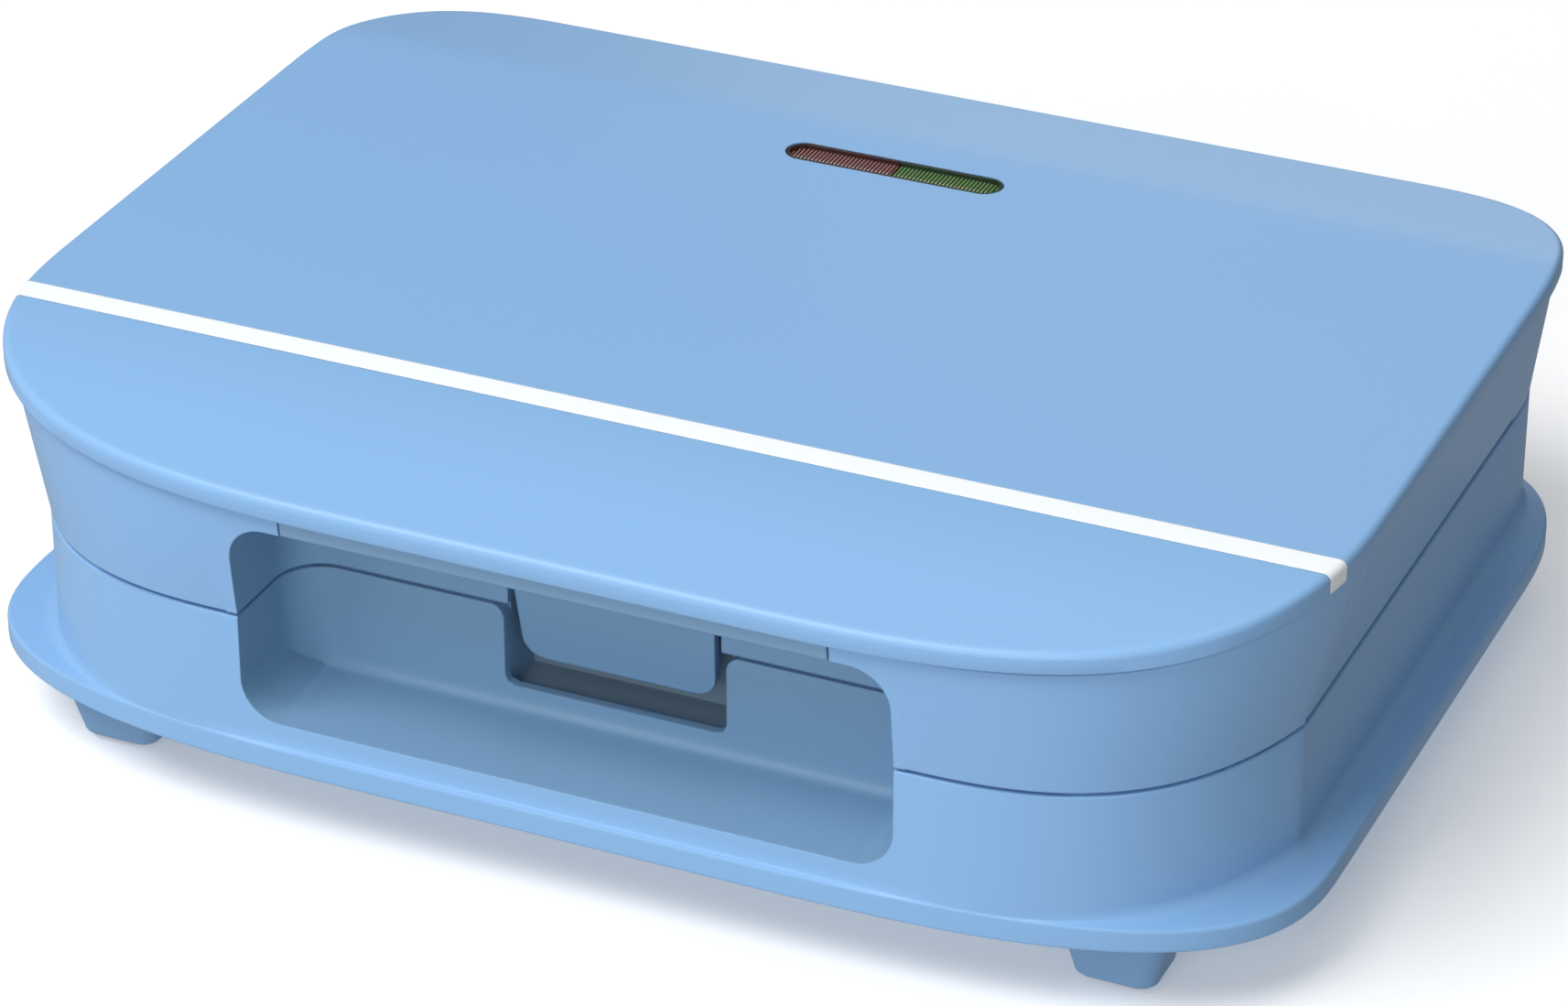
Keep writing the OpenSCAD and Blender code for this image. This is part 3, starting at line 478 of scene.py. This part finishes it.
# %% Prisms
def prism(name, shape, low, high, axis="z"):
    """Extrusion of a closed outline between two planes, along z, or along x (shape is y, z), or y."""
    shape = np.asarray(shape, float)
    ends = [np.insert(shape, {"x": 0, "y": 1, "z": 2}[axis], level, 1) for level in (low, high)]
    n = len(shape)
    caps = [list(range(n))[::-1], list(range(n, 2 * n))]
    return solid(name, np.vstack(ends), caps + walls_between(2, n).tolist())


def box(name, low, high):
    """Straight block between two opposite corners."""
    (x0, y0, z0), (x1, y1, z1) = low, high
    return prism(name, [(x0, y0), (x1, y0), (x1, y1), (x0, y1)], z0, z1)


def round_box(width, depth, radius, centre=(0.0, 0.0), steps=10):
    """Outline of a rectangle whose corners are arcs of this radius."""
    t = np.linspace(0.0, math.pi / 2, steps + 1)
    arc = np.c_[np.cos(t), np.sin(t)] * radius + (width / 2 - radius, depth / 2 - radius)
    quarter = np.array([(1, 1), (-1, 1), (-1, -1), (1, -1)])
    parts = [arc * q if i % 2 == 0 else (arc * q)[::-1] for i, q in enumerate(quarter)]
    return np.vstack(parts) + centre


def disc(radius, centre=(0.0, 0.0), steps=40):
    """Outline of a circle."""
    t = np.linspace(0.0, 2 * math.pi, steps, endpoint=False)
    return np.c_[np.cos(t), np.sin(t)] * radius + centre


print("points in a rounded rectangle:", len(round_box(20.0, 10.0, 2.0)))

# %% [markdown]
# Prisms and lofts are closed solids, so they can be added and subtracted. The housing is built as a
# mould maker thinks of it: outer form, minus hollow, minus each opening. The Boolean modifier's
# manifold solver does it, and its result is taken as the new mesh at once. A cutting tool reaches
# past the faces that it cuts through, because two faces in one plane leave stray slivers.

# %% Cutting and joining
def combine(first, operation, *tools):
    """Boolean of a solid with each tool in turn; the tools are used up."""
    for tool in tools:
        step = first.modifiers.new("step", "BOOLEAN")
        step.solver, step.operation, step.object = "MANIFOLD", operation, tool
        graph = bpy.context.evaluated_depsgraph_get()
        mesh = bpy.data.meshes.new_from_object(first.evaluated_get(graph))
        first.modifiers.clear()
        first.data = mesh
        bpy.data.objects.remove(tool)
    return first


def carve(first, *tools): return combine(first, "DIFFERENCE", *tools)
def join(first, *tools): return combine(first, "UNION", *tools)
def common(first, *tools): return combine(first, "INTERSECT", *tools)


print("solids can be made with", loft.__name__, "and", prism.__name__, "and combined with",
      carve.__name__, join.__name__, "and", common.__name__)

# %% [markdown]
# A finished solid is dressed: it gets its material, smooth shading that stops at sharp edges, the
# body that it rides on, and the nodes that it stands in for. Where one moulding has two textures, a
# test on the middles of its faces picks the second.

# %% Dressing
def dress(made, finish, body, slot, *nodes, others=(), sharp=28.0):
    """Gives a finished solid its material and smooth shading, and stands it in for its nodes.
    Others are pairs of a finish and a test on the middles of faces, x, y and z in mm."""
    mesh = made.data
    mesh.materials.clear()
    mesh.materials.append(finish)
    middles = np.empty(3 * len(mesh.polygons))
    mesh.polygons.foreach_get("center", middles)
    x, y, z = middles.reshape(-1, 3).T / MM
    choice = np.zeros(len(x), np.int32)
    for other, test in others:
        mesh.materials.append(other)
        choice[test(x, y, z)] = len(mesh.materials) - 1
    mesh.polygons.foreach_set("material_index", choice)
    mesh.shade_smooth()
    mesh.set_sharp_from_angle(angle=math.radians(sharp))
    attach(made, body)
    if nodes:
        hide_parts(*nodes)
    print(made.name, "faces:", len(mesh.polygons))


print("second finishes chosen by a test:", recess_grained_painted_shade.name, pocket_blue_painted_shade.name)

# %% [markdown]
# The recess for the fingers is the meeting of three extrusions: its plan with round back corners,
# its front view with round opening corners, and its side view with a fillet where the floor meets
# the back wall. Moved outwards by a wall's thickness the same shape gives the recess its walls.

# %% Finger recess
RECESS_HALF, RECESS_BACK, RECESS_FLOOR, RECESS_TOP = 64.7, -73.2, 23.5, 65.5
PLAN_ROUND, FACE_ROUND, FLOOR_FILLET = 9.0, 8.0, 3.0
RECESS_WALL = 2.2
OUT = 60.0     # how far the cutting shape runs out through the front


def recess(grow=0.0):
    """The recess as a solid, its walls moved outwards by grow; it runs out through the front."""
    half, back = RECESS_HALF + grow, RECESS_BACK + grow
    low, high = RECESS_FLOOR - grow, RECESS_TOP + grow
    plan_shape = round_box(2 * half, 2 * OUT, PLAN_ROUND + grow, (0, back - OUT))
    face_shape = round_box(2 * half, high - low, FACE_ROUND + grow, (0, (low + high) / 2))
    plan = prism("plan", plan_shape, low, high)
    face = prism("face", face_shape, back - OUT, back, "y")
    t, fillet = np.linspace(-math.pi / 2, 0.0, 9), FLOOR_FILLET + grow
    foot = np.c_[np.cos(t), np.sin(t)] * fillet + (back - fillet, low + fillet)
    side_shape = [(back - OUT, low), *foot.tolist(), (back, high), (back - OUT, high)]
    side = prism("side", side_shape, -half, half, "x")
    return common(plan, face, side)


def in_recess(x, y, z):
    """Faces of the recess and of what lies behind it, but not of the outer wall in front. They get the
    darker grained finish, whose colour is partly painted shade.
    """
    middle, reach = (RECESS_FLOOR + RECESS_TOP) / 2, (RECESS_TOP - RECESS_FLOOR) / 2
    return (abs(x) < RECESS_HALF + 0.05) & (y > -96.1) & (y < -57) & (abs(z - middle) < reach + 0.05)


def in_pocket(x, y, z):
    """The floor and the back of the latch's pocket, where little light reaches; their darker colour is
    painted shade.
    """
    return (abs(x) < 21) & (y > -71) & (y < -57) & (z > 26) & (z < 44)


print("finger recess in mm:", 2 * RECESS_HALF, "by", RECESS_TOP - RECESS_FLOOR)

# %% [markdown]
# Each half of the housing holds its plate in a deck with a hole. A rebate round the hole takes the
# plate's flange, so both plates lie flush with the joint line and meet when the lid is shut.

# %% Plate seats
PLATE_Y = 10.0


def plate_seat(level, way):
    """Rebate and through hole in a deck for a plate whose face is at level; way is -1 down, 1 up."""
    low, high = sorted((level - way, level + way * 2.0))
    rebate = prism("rebate", round_box(226.0, 142.0, 14.3, (0, PLATE_Y)), low, high)
    low, high = sorted((level, level + way * 14.4))
    return rebate, prism("hole", round_box(218.0, 134.0, 11.0, (0, PLATE_Y)), low, high)


print("plate seats ready, centred at y =", PLATE_Y)

# %% [markdown]
# The base is a tray with a flange round its foot. Its profile runs up the flange's edge, in along
# the shelf, through a concave fillet and up the wall. The flange stands out 7.6 mm at the sides but
# hardly at all in front, so the profile is given as a blend between two outlines: 0 is the wall and
# 1 the flange.

# %% Base form
RIM, SHELF, FLANGE_FOOT = 44.5, 18.7, 14.1
FILLET_REACH, FILLET_RISE = 0.34, 2.6


def base_profile():
    """Pairs of blend and height: foot edge, flange edge, shelf, fillet, wall, rounded rim."""
    t = np.linspace(0.0, math.pi / 2, 9)
    foot = np.c_[0.92 + 0.08 * np.sin(t), FLANGE_FOOT + 0.6 * (1 - np.cos(t))]
    edge = np.c_[0.9 + 0.1 * np.cos(t), SHELF - 0.8 + 0.8 * np.sin(t)]
    fillet = np.c_[FILLET_REACH * (1 - np.sin(t)), SHELF + 0.25 + FILLET_RISE * (1 - np.cos(t))]
    rim = np.c_[-0.06 * (1 - np.cos(t)), RIM - 0.5 + 0.5 * np.sin(t)]
    return np.vstack([foot, edge, fillet, rim])


def base_form():
    """The base without its hollows: one section for each pair of the profile."""
    wall, flange = outline(WALL), outline(FLANGE)
    return loft("base_housing", [(wall * (1 - s) + flange * s, z) for s, z in base_profile()])


def straight_loft(name, kind, inset, low, high):
    """A loft whose section stays the same from low to high."""
    return loft(name, [(outline(kind, inset), low), (outline(kind, inset), high)])


print("sections in the base form:", len(base_profile()))

# %% [markdown]
# The form is hollowed to an even wall under a thicker deck. The recess and the latch's pocket bring
# walls of their own, which are joined on before both are cut out. The tab of the latch hangs in a
# notch whose upper corners flare, and behind it lies the pocket with its narrow mouth. Two pairs of
# knuckles at the rear take the hinge pins, and the shut lid rests on two low studs in front.

# %% Base housing
THICK, FLANGE_THICK, DECK = 2.4, 2.6, 4.4
HINGE_Y, HINGE_Z, KNUCKLE, ARM_ROOT = 101.0, 45.2, 3.9, 95.4
KNUCKLES = (56.0, 62.2, 77.8, 84.0)     # the ends of each pair, from the middle outwards
ARM_TOUCH, ARM_DROP = 2.7, 16.0         # where an arm meets its eye, and how far it runs down
STUD_X, STUD_Y, STUD_RADIUS = 82.0, -80.0, 3.0
POCKET_HALF, POCKET_FRONT, POCKET_BACK, POCKET_FLOOR = 22.3, -71.2, -61.4, 26.5
POCKET_WALL, MOUTH_BACK = 2.0, -65.2
NOTCH_FRONT, NOTCH_BACK = -74.2, -70.2
NOTCH = [(24.6, 60), (24.6, RIM), (23.6, 44.1), (22.7, 43.2), (22.3, 42), (22.3, 30), (21.7, 28.6),
         (20.3, 28)]


def knuckle_pair(x0, x1, foot):
    """A hinge knuckle with its arm: a round eye on the hinge axis and a wedge back to the wall."""
    eye = prism("eye", disc(KNUCKLE, (HINGE_Y, HINGE_Z)), x0, x1, "x")
    return join(eye, prism("arm", foot, x0, x1, "x"))


base = carve(base_form(),
             straight_loft("hollow", WALL, THICK, FLANGE_FOOT - 1, RIM - DECK),
             straight_loft("skirt", FLANGE, FLANGE_THICK, FLANGE_FOOT - 1, SHELF - THICK))
pocket_walls = box("pocket", (-POCKET_HALF - POCKET_WALL, RECESS_BACK, POCKET_FLOOR - POCKET_WALL),
                   (POCKET_HALF + POCKET_WALL, POCKET_BACK + POCKET_WALL, RIM))
join(base, common(join(recess(RECESS_WALL), pocket_walls), base_form()))
base_arm = [(ARM_ROOT, HINGE_Z - ARM_DROP), (HINGE_Y + ARM_TOUCH, HINGE_Z - ARM_TOUCH),
            (HINGE_Y, RIM - 0.2), (ARM_ROOT, RIM - 0.2)]
for side in (-1, 1):
    for a, b in (KNUCKLES[:2], KNUCKLES[2:]):
        join(base, knuckle_pair(*sorted((side * a, side * b)), base_arm))
    join(base, prism("stud", disc(STUD_RADIUS, (side * STUD_X, STUD_Y)), RIM - 1, RIM + 0.4))
notch = np.array(NOTCH)
carve(base, recess(),
      prism("notch", np.vstack([notch * (-1, 1), notch[::-1]]), NOTCH_FRONT, NOTCH_BACK, "y"),
      box("pocket", (-POCKET_HALF, POCKET_FRONT, POCKET_FLOOR), (POCKET_HALF, POCKET_BACK, RIM - DECK)),
      box("mouth", (-POCKET_HALF, POCKET_FRONT, RIM - DECK - 1), (POCKET_HALF, MOUTH_BACK, RIM + 1)),
      *plate_seat(RIM, -1),
      prism("gland hole", disc(5.0, (-38.0, 31.0)), 90.0, 100.0, "y"))
print("base housing faces so far:", len(base.data.polygons))

# %% [markdown]
# Along each side the lid's lower edge is lifted. A low rail on the base's rim, set back a little
# from the wall, stands under it, so that a narrow dark gap with a fine ledge is left. The rail is
# a thin ring after the wall's outline, of which only the stretch beside each lifted edge is kept.

# %% Side rails
RAIL_SET_BACK, RAIL_INSIDE, RAIL_HEIGHT = 0.8, 1.9, 0.6
RAIL_FRONT, RAIL_REAR = -53.4, 67.4


def rail(side):
    """The stretch of the ring that lies on one side, -1 for left and 1 for right."""
    ring = carve(straight_loft("rail", WALL, RAIL_SET_BACK, RIM - 1.0, RIM + RAIL_HEIGHT),
                 straight_loft("inside", WALL, RAIL_INSIDE, RIM - 2.0, RIM + 2.0))
    ends = sorted([(side * 110.0, RAIL_FRONT, 40), (side * 140.0, RAIL_REAR, 50)])
    return common(ring, box("length", *ends))


join(base, rail(-1), rail(1))
# the recess gets a darker grained finish, partly painted shade, and the pocket a still darker one that
# is painted shade
dress(base, satin_blue, "base", "housing", "base_shell",
      others=[(recess_grained_painted_shade, in_recess), (pocket_blue_painted_shade, in_pocket)])

# %% [markdown]
# The lid's skirt drafts outwards as it rises, from the wall's outline at the joint line to just
# inside the cover's edge. Its top follows the crown, and stops a little below the cover's lip, where
# a shadow line shows. A tongue further in reaches up into the cover and carries it.

# %% Skirt form
LID_FOOT, TOP, LIP = 45.2, 80.0, 4.1
SHADOW_GAP, FOOT_ROUND = 1.15, 0.4


def skirt(name, inset, foot, rounded=0.0):
    """Drafted skirt from the height foot, its outline moved inwards by inset."""
    t = np.linspace(0.0, math.pi / 2, 6) if rounded else [math.pi / 2]
    levels = [(foot + rounded * (1 - np.cos(a)), rounded * (1 - np.sin(a))) for a in t]
    sections = []
    for z, pull in levels + [(TOP - 1.0, 0.0)]:
        s = (z - LID_FOOT) / (TOP - LIP - LID_FOOT)
        lower, upper = outline(WALL, inset + pull), outline(LID, inset + 1.0 + pull)
        sections.append((lower * (1 - s) + upper * s, z))
    return loft(name, sections)


def under_crown(drop):
    """Everything lower than drop mm under the crowned top."""
    bends = [np.arange(-96.0, -53.0, 1.0), np.arange(64.0, 78.0, 1.0)]
    y = np.concatenate([[-110.0], *bends, [110.0]])
    upper = np.c_[y, TOP - drop - crown(y)]
    shape = [*upper[::-1].tolist(), (-110.0, 0.0), (110.0, 0.0)]
    return prism("under", shape, -140.0, 140.0, "x")


def lid_hollow():
    """What is hollowed out of the lid above its deck."""
    return skirt("hollow", THICK, LID_FOOT + DECK)


lid = join(common(skirt("lid_skirt", 0.0, LID_FOOT, FOOT_ROUND), under_crown(LIP + SHADOW_GAP)),
           common(skirt("tongue", 1.3, LID_FOOT + 1), under_crown(LIP - 1.3)))
carve(lid, lid_hollow())
print("skirt faces so far:", len(lid.data.polygons))

# %% [markdown]
# The skirt carries the upper half of the recess with two cheeks that hold the latch's pin, the slots
# for the latch's strip and tab, and the lid's two knuckles, each between a pair of the base's. Its
# lower edge is lifted along each side.

# %% Lid skirt
CHEEK_X, CHEEK_HALF, CHEEK_TOP = 55.8, 2.2, 70.6
STRIP_HALF, TAB_HALF, SLOT_TOP = 53.65, 21.35, 72.0
HINGE_PLAY = 0.3
LIFT_FRONT, LIFT_REAR, SIDE_LIFT = -54.0, 68.0, 1.3


def cheek(side):
    """A block beside the strip's end, in which one end of the latch's pin sits."""
    return box("cheek", (side * CHEEK_X - CHEEK_HALF, -101.0, RECESS_TOP - 1),
               (side * CHEEK_X + CHEEK_HALF, -90.0, CHEEK_TOP))


def lid_knuckle(side):
    """The knuckle that fills the room between a pair of the base's, less the play at each end."""
    shape = [(ARM_ROOT, LID_FOOT + 0.3), (HINGE_Y, LID_FOOT + 0.3),
             (HINGE_Y + ARM_TOUCH, HINGE_Z + ARM_TOUCH), (ARM_ROOT, LID_FOOT + ARM_DROP)]
    ends = sorted((side * (KNUCKLES[1] + HINGE_PLAY), side * (KNUCKLES[2] - HINGE_PLAY)))
    return carve(knuckle_pair(*ends, shape), lid_hollow())


def side_gap(side):
    """The lift of the skirt's lower edge along one side."""
    middle, half = side * 130, 9
    return box("gap", (middle - half, LIFT_FRONT, LID_FOOT - 1),
               (middle + half, LIFT_REAR, LID_FOOT + SIDE_LIFT))


join(lid, common(join(recess(RECESS_WALL), cheek(-1), cheek(1)), skirt("skirt", 0.0, LID_FOOT),
                 under_crown(LIP + SHADOW_GAP)))
join(lid, lid_knuckle(-1), lid_knuckle(1))
carve(lid, recess(),
      box("strip slot", (-STRIP_HALF, -150.0, RECESS_TOP - 1), (STRIP_HALF, -91.4, SLOT_TOP)),
      box("tab slot", (-TAB_HALF, -92.0, LID_FOOT - 1), (TAB_HALF, -67.0, SLOT_TOP)),
      *plate_seat(LID_FOOT, 1), side_gap(-1), side_gap(1))
# the lid's part of the recess gets the same darker grained finish, partly painted shade
dress(lid, satin_blue, "lid", "housing", "lid_shell", others=[(recess_grained_painted_shade, in_recess)])

# %% [markdown]
# The cover is the crowned top with its overhanging lip. Its edge is a quarter round of 1.4 mm, and
# the two extra sections just inside the edge keep the wide top's shading free of the edge's. The
# white stripe lies in a shallow groove that runs down over both edges. A ring between two lofted
# skins gives both: with a little play it is the groove's cutter, and without play, cut off at the
# cover's skin, it is the stripe. So the stripe follows the crown exactly.

# %% Cover and stripe
EDGE_ROUND = 1.4
STRIPE_FRONT, STRIPE_REAR, STRIPE_DEPTH, STRIPE_PLAY = -60.0, -54.4, 1.2, 0.06
WINDOW = (46.0, 8.0, 3.99)     # length, width, corner radius


def cover_form(name, depth, low):
    """Crowned slab with a rounded edge, its skin moved inwards by depth, reaching low mm down."""
    t = np.linspace(0.0, math.pi / 2, 9)
    edge = [(low, 0.3), (low - 0.1, 0.09), (low - 0.3, 0.0)]
    edge += [(EDGE_ROUND * (1 - np.sin(a)), EDGE_ROUND * (1 - np.cos(a))) for a in t]
    edge += [(0.0, 2.2), (0.0, 4.0)]
    sections = []
    for drop, inset in edge:
        ring = outline(LID, inset + depth)
        sunk = drop if drop >= low - 0.05 else drop + depth
        sections.append((ring, TOP - sunk - crown(ring[:, 1])))
    return loft(name, sections)


def stripe_ring(name, play):
    """A slice 5.6 mm wide, less all that lies more than 1.2 mm under the cover's skin."""
    return carve(box(name, (-140, STRIPE_FRONT - play, 0), (140, STRIPE_REAR + play, 90)),
                 cover_form("core", STRIPE_DEPTH + play, LIP + 3))


inner = [(outline(LID, inset), drop) for drop, inset in ((LIP + 2, 2.0), (3.2, 2.0), (2.6, 2.6))]
cover = carve(cover_form("lid_top", 0.0, LIP),
              loft("hollow", [(ring, TOP - drop - crown(ring[:, 1])) for ring, drop in inner]),
              stripe_ring("groove", STRIPE_PLAY),
              prism("window", round_box(*WINDOW, (0, WINDOW_Y), 16), 70, 90))
dress(cover, satin_blue, "lid", "housing", "lid_cover")
stripe = common(stripe_ring("inlay_stripe", 0.0), cover_form("skin", 0.0, LIP))
dress(stripe, white_gloss, "lid", "white_plastic", "trim_stripe")

# %% [markdown]
# The indicator lens is two tinted halves in one window. Each is a shallow tray whose floor has fine
# ribs, 0.8 mm apart, that run from front to back and break up the light of the lamp below. A
# ledge under the cover keeps it from lifting out.

# %% Indicator lens
LENS_FLOOR, VALLEY, CREST = 78.6, 78.66, 78.98     # heights
TRAY = (45.5, 7.5, 75.3, 79.85)                    # length, width, lowest and highest
LEDGE = (49.0, 11.0, 76.2, 77.35)
HOLLOW = (44.3, 6.3, LENS_FLOOR, 81.0)
TURNS = np.arange(1, 56)                           # a rib turns over or back at each of these


def pill(name, length, width, low, high):
    """A bar with round ends, centred on the window."""
    return prism(name, round_box(length, width, width / 2 - 0.01, (0, WINDOW_Y), 16), low, high)


def lens_half(name, side):
    """Pill-shaped tray with a ribbed floor, cut in half; the ribs are one zigzag outline."""
    tray = carve(join(pill(name, *TRAY), pill("ledge", *LEDGE)), pill("hollow", *HOLLOW))
    x, z = TURNS * RIB / 2, np.where(TURNS % 2, CREST, VALLEY)
    zigzag = [*zip(x, z), (x[-1], 78.2), (x[0], 78.2)]
    ribs = prism("ribs", np.array(zigzag) * (side, 1), WINDOW_Y - 4, WINDOW_Y + 4, "y")
    join(tray, common(ribs, pill("inside", 44.5, 6.5, 78.0, 81.0)))
    return common(tray, box("half", *sorted([(side * 0.1, 40, 70), (side * 30, 70, 90)])))


def on_ribs(x, y, z):
    """Faces of the zigzag, but not of the tray's sides."""
    return (z > LENS_FLOOR + 0.02) & (z < CREST + 0.02) & (abs(y - WINDOW_Y) < 3.1)


# the ribs' finish carries painted highlights on their crests
for colour, side, tray, ribs in (("red", -1, red_tray, red_ribs_painted_highlight), ("green", 1, green_tray, green_ribs_painted_highlight)):
    name = colour + "_lens"
    dress(lens_half(name, side), tray, "lid", name, "lens_" + colour,
          others=[(ribs, on_ribs)], sharp=20.0)

# %% [markdown]
# Each foot is a short moulded block that tapers to a rounded sole, made as a loft of rounded
# rectangles. A rubber pad, which is a node of its own, fills the sole.

# %% Feet
FOOT_X, FOOT_Y = 101.0, 75.5
FOOT_WIDTH, FOOT_DEPTH, FOOT_CORNER = 16.1, 14.1, 3.2
SOLE, SOLE_ROUND, TAPER = 0.8, 1.8, 0.26


def foot(name, x, y):
    """Rounded rectangles from the sole up: a quarter round, then straight tapering sides. Pull is
    how far a rectangle's sides lie inside, or where it is negative outside, those at the bend."""
    t = np.linspace(0.0, math.pi / 2, 6)
    levels = [(SOLE + SOLE_ROUND * (1 - np.cos(a)), SOLE_ROUND * (1 - np.sin(a))) for a in t]
    levels += [(z, -(z - SOLE - SOLE_ROUND) * TAPER) for z in (5.0, 8.0, 11.0, 14.05)]
    rings = []
    for z, pull in levels:
        corner = FOOT_CORNER - min(0.6, 0.3 * pull)
        shape = round_box(FOOT_WIDTH - 2 * pull, FOOT_DEPTH - 2 * pull * 0.85, corner, (x, y), 6)
        rings.append(np.c_[shape, np.full(len(shape), z)])
    count, n = len(rings), len(rings[0])
    caps = [list(range(n))[::-1], list(range((count - 1) * n, count * n))]
    return solid(name, np.vstack(rings), walls_between(count, n).tolist() + caps)


# the feet get the grained finish whose darker colour is painted shade
for side, x in (("left", -FOOT_X), ("right", FOOT_X)):
    for end, y in (("front", -FOOT_Y), ("rear", FOOT_Y)):
        block = foot(f"{end}_{side}_foot", x, y)
        dress(block, grained_blue_painted_shade, "base", "housing", f"foot_{end}_{side}")

# %% [markdown]
# The stage is a wide pale floor, which glows faintly so that it stays near white in the shadow. It
# is hidden from diffuse and glossy rays, so it throws no light up onto the sides: the surround
# does that, more evenly.

# %% Floor
FLOOR_HALF, BELOW = 6.0, 0.0002     # metres
corners = np.array([(-1, -1, 0), (1, -1, 0), (1, 1, 0), (-1, 1, 0)]) * FLOOR_HALF
floor_mesh = bpy.data.meshes.new("floor")
floor_mesh.from_pydata(corners.tolist(), [], [(0, 1, 2, 3)])
floor = bpy.data.objects.new("floor", floor_mesh)
bpy.context.scene.collection.objects.link(floor)
floor.location.z = min(0.0, cad_low.z) - BELOW
floor_mesh.materials.append(plain("pale_floor", (0.93, 0.93, 0.93), 0.7, 20.0, 0.00001, 0.01,
                                  Emission_Color=(1, 1, 1, 1), Emission_Strength=0.2).material)
floor.visible_diffuse = floor.visible_glossy = False
print("floor in metres:", 2 * FLOOR_HALF)

# %% [markdown]
# Four soft panels light it: a large key to the left of the camera and above, a weak one overhead,
# one low in front, which lights the recess, and a faint one behind that draws the rear edge. Each
# faces the object, and none is seen by the camera. Places and sizes are in metres.

# %% Lights
def light(name, place, target, size, watts):
    """A rectangular panel that faces its target."""
    data = bpy.data.lights.new(name, "AREA")
    data.shape, data.size, data.size_y, data.energy = "RECTANGLE", size[0], size[1], watts
    made = bpy.data.objects.new(name, data)
    bpy.context.scene.collection.objects.link(made)
    made.location = place
    made.visible_camera = False
    made.rotation_euler = (Vector(target) - Vector(place)).to_track_quat("-Z", "Y").to_euler()


MIDDLE, ABOVE = (0, 0, 0.05), (0, 0, 0.1)
light("key", (-0.62, -1.0, 1.8), MIDDLE, (1.4, 1.0), 32.5)
light("top", (0.0, 0.5, 1.8), MIDDLE, (1.6, 1.2), 5.2)
light("front", (0.25, -1.65, 0.75), MIDDLE, (0.9, 0.6), 8.6)
light("back", (-0.3, 1.9, 0.5), ABOVE, (1.0, 0.5), 2.0)

# %% [markdown]
# The surround is a bluish white whose strength depends on direction. It is brightest low in front
# and to the left, as if a pale table reflected the key light there, and dim opposite. The cosine of
# the angle to that direction, from -0.6 to 1, sets the strength, from dim to full. The world's
# nodes are made by the same methods as a material's.

# %% Surround
class Surround(Finish):
    """The world under construction, with its Background shader in place of a material's."""

    def __init__(self, name):
        world = bpy.data.worlds.new(name)
        bpy.context.scene.world = world
        world.use_nodes = True
        self.tree = world.node_tree
        self.shader = self.tree.nodes["Background"]


DIM, FULL, DIM_FROM = 0.19, 0.72, -0.6
BRIGHT_WAY = (-0.37, -0.6, -0.71)
studio = Surround("studio")
studio.set("Color", (0.93, 0.96, 1.0, 1.0))
direction = studio.node("ShaderNodeTexCoord")["Generated"]
cosine = studio.node("ShaderNodeVectorMath", {"operation": "DOT_PRODUCT"},
                     {0: direction, 1: BRIGHT_WAY})["Value"]
studio.set("Strength", studio.node("ShaderNodeMapRange", {}, {
    "Value": cosine, "From Min": DIM_FROM, "To Min": DIM, "To Max": FULL})["Result"])
print("surround strength from", DIM, "to", FULL)
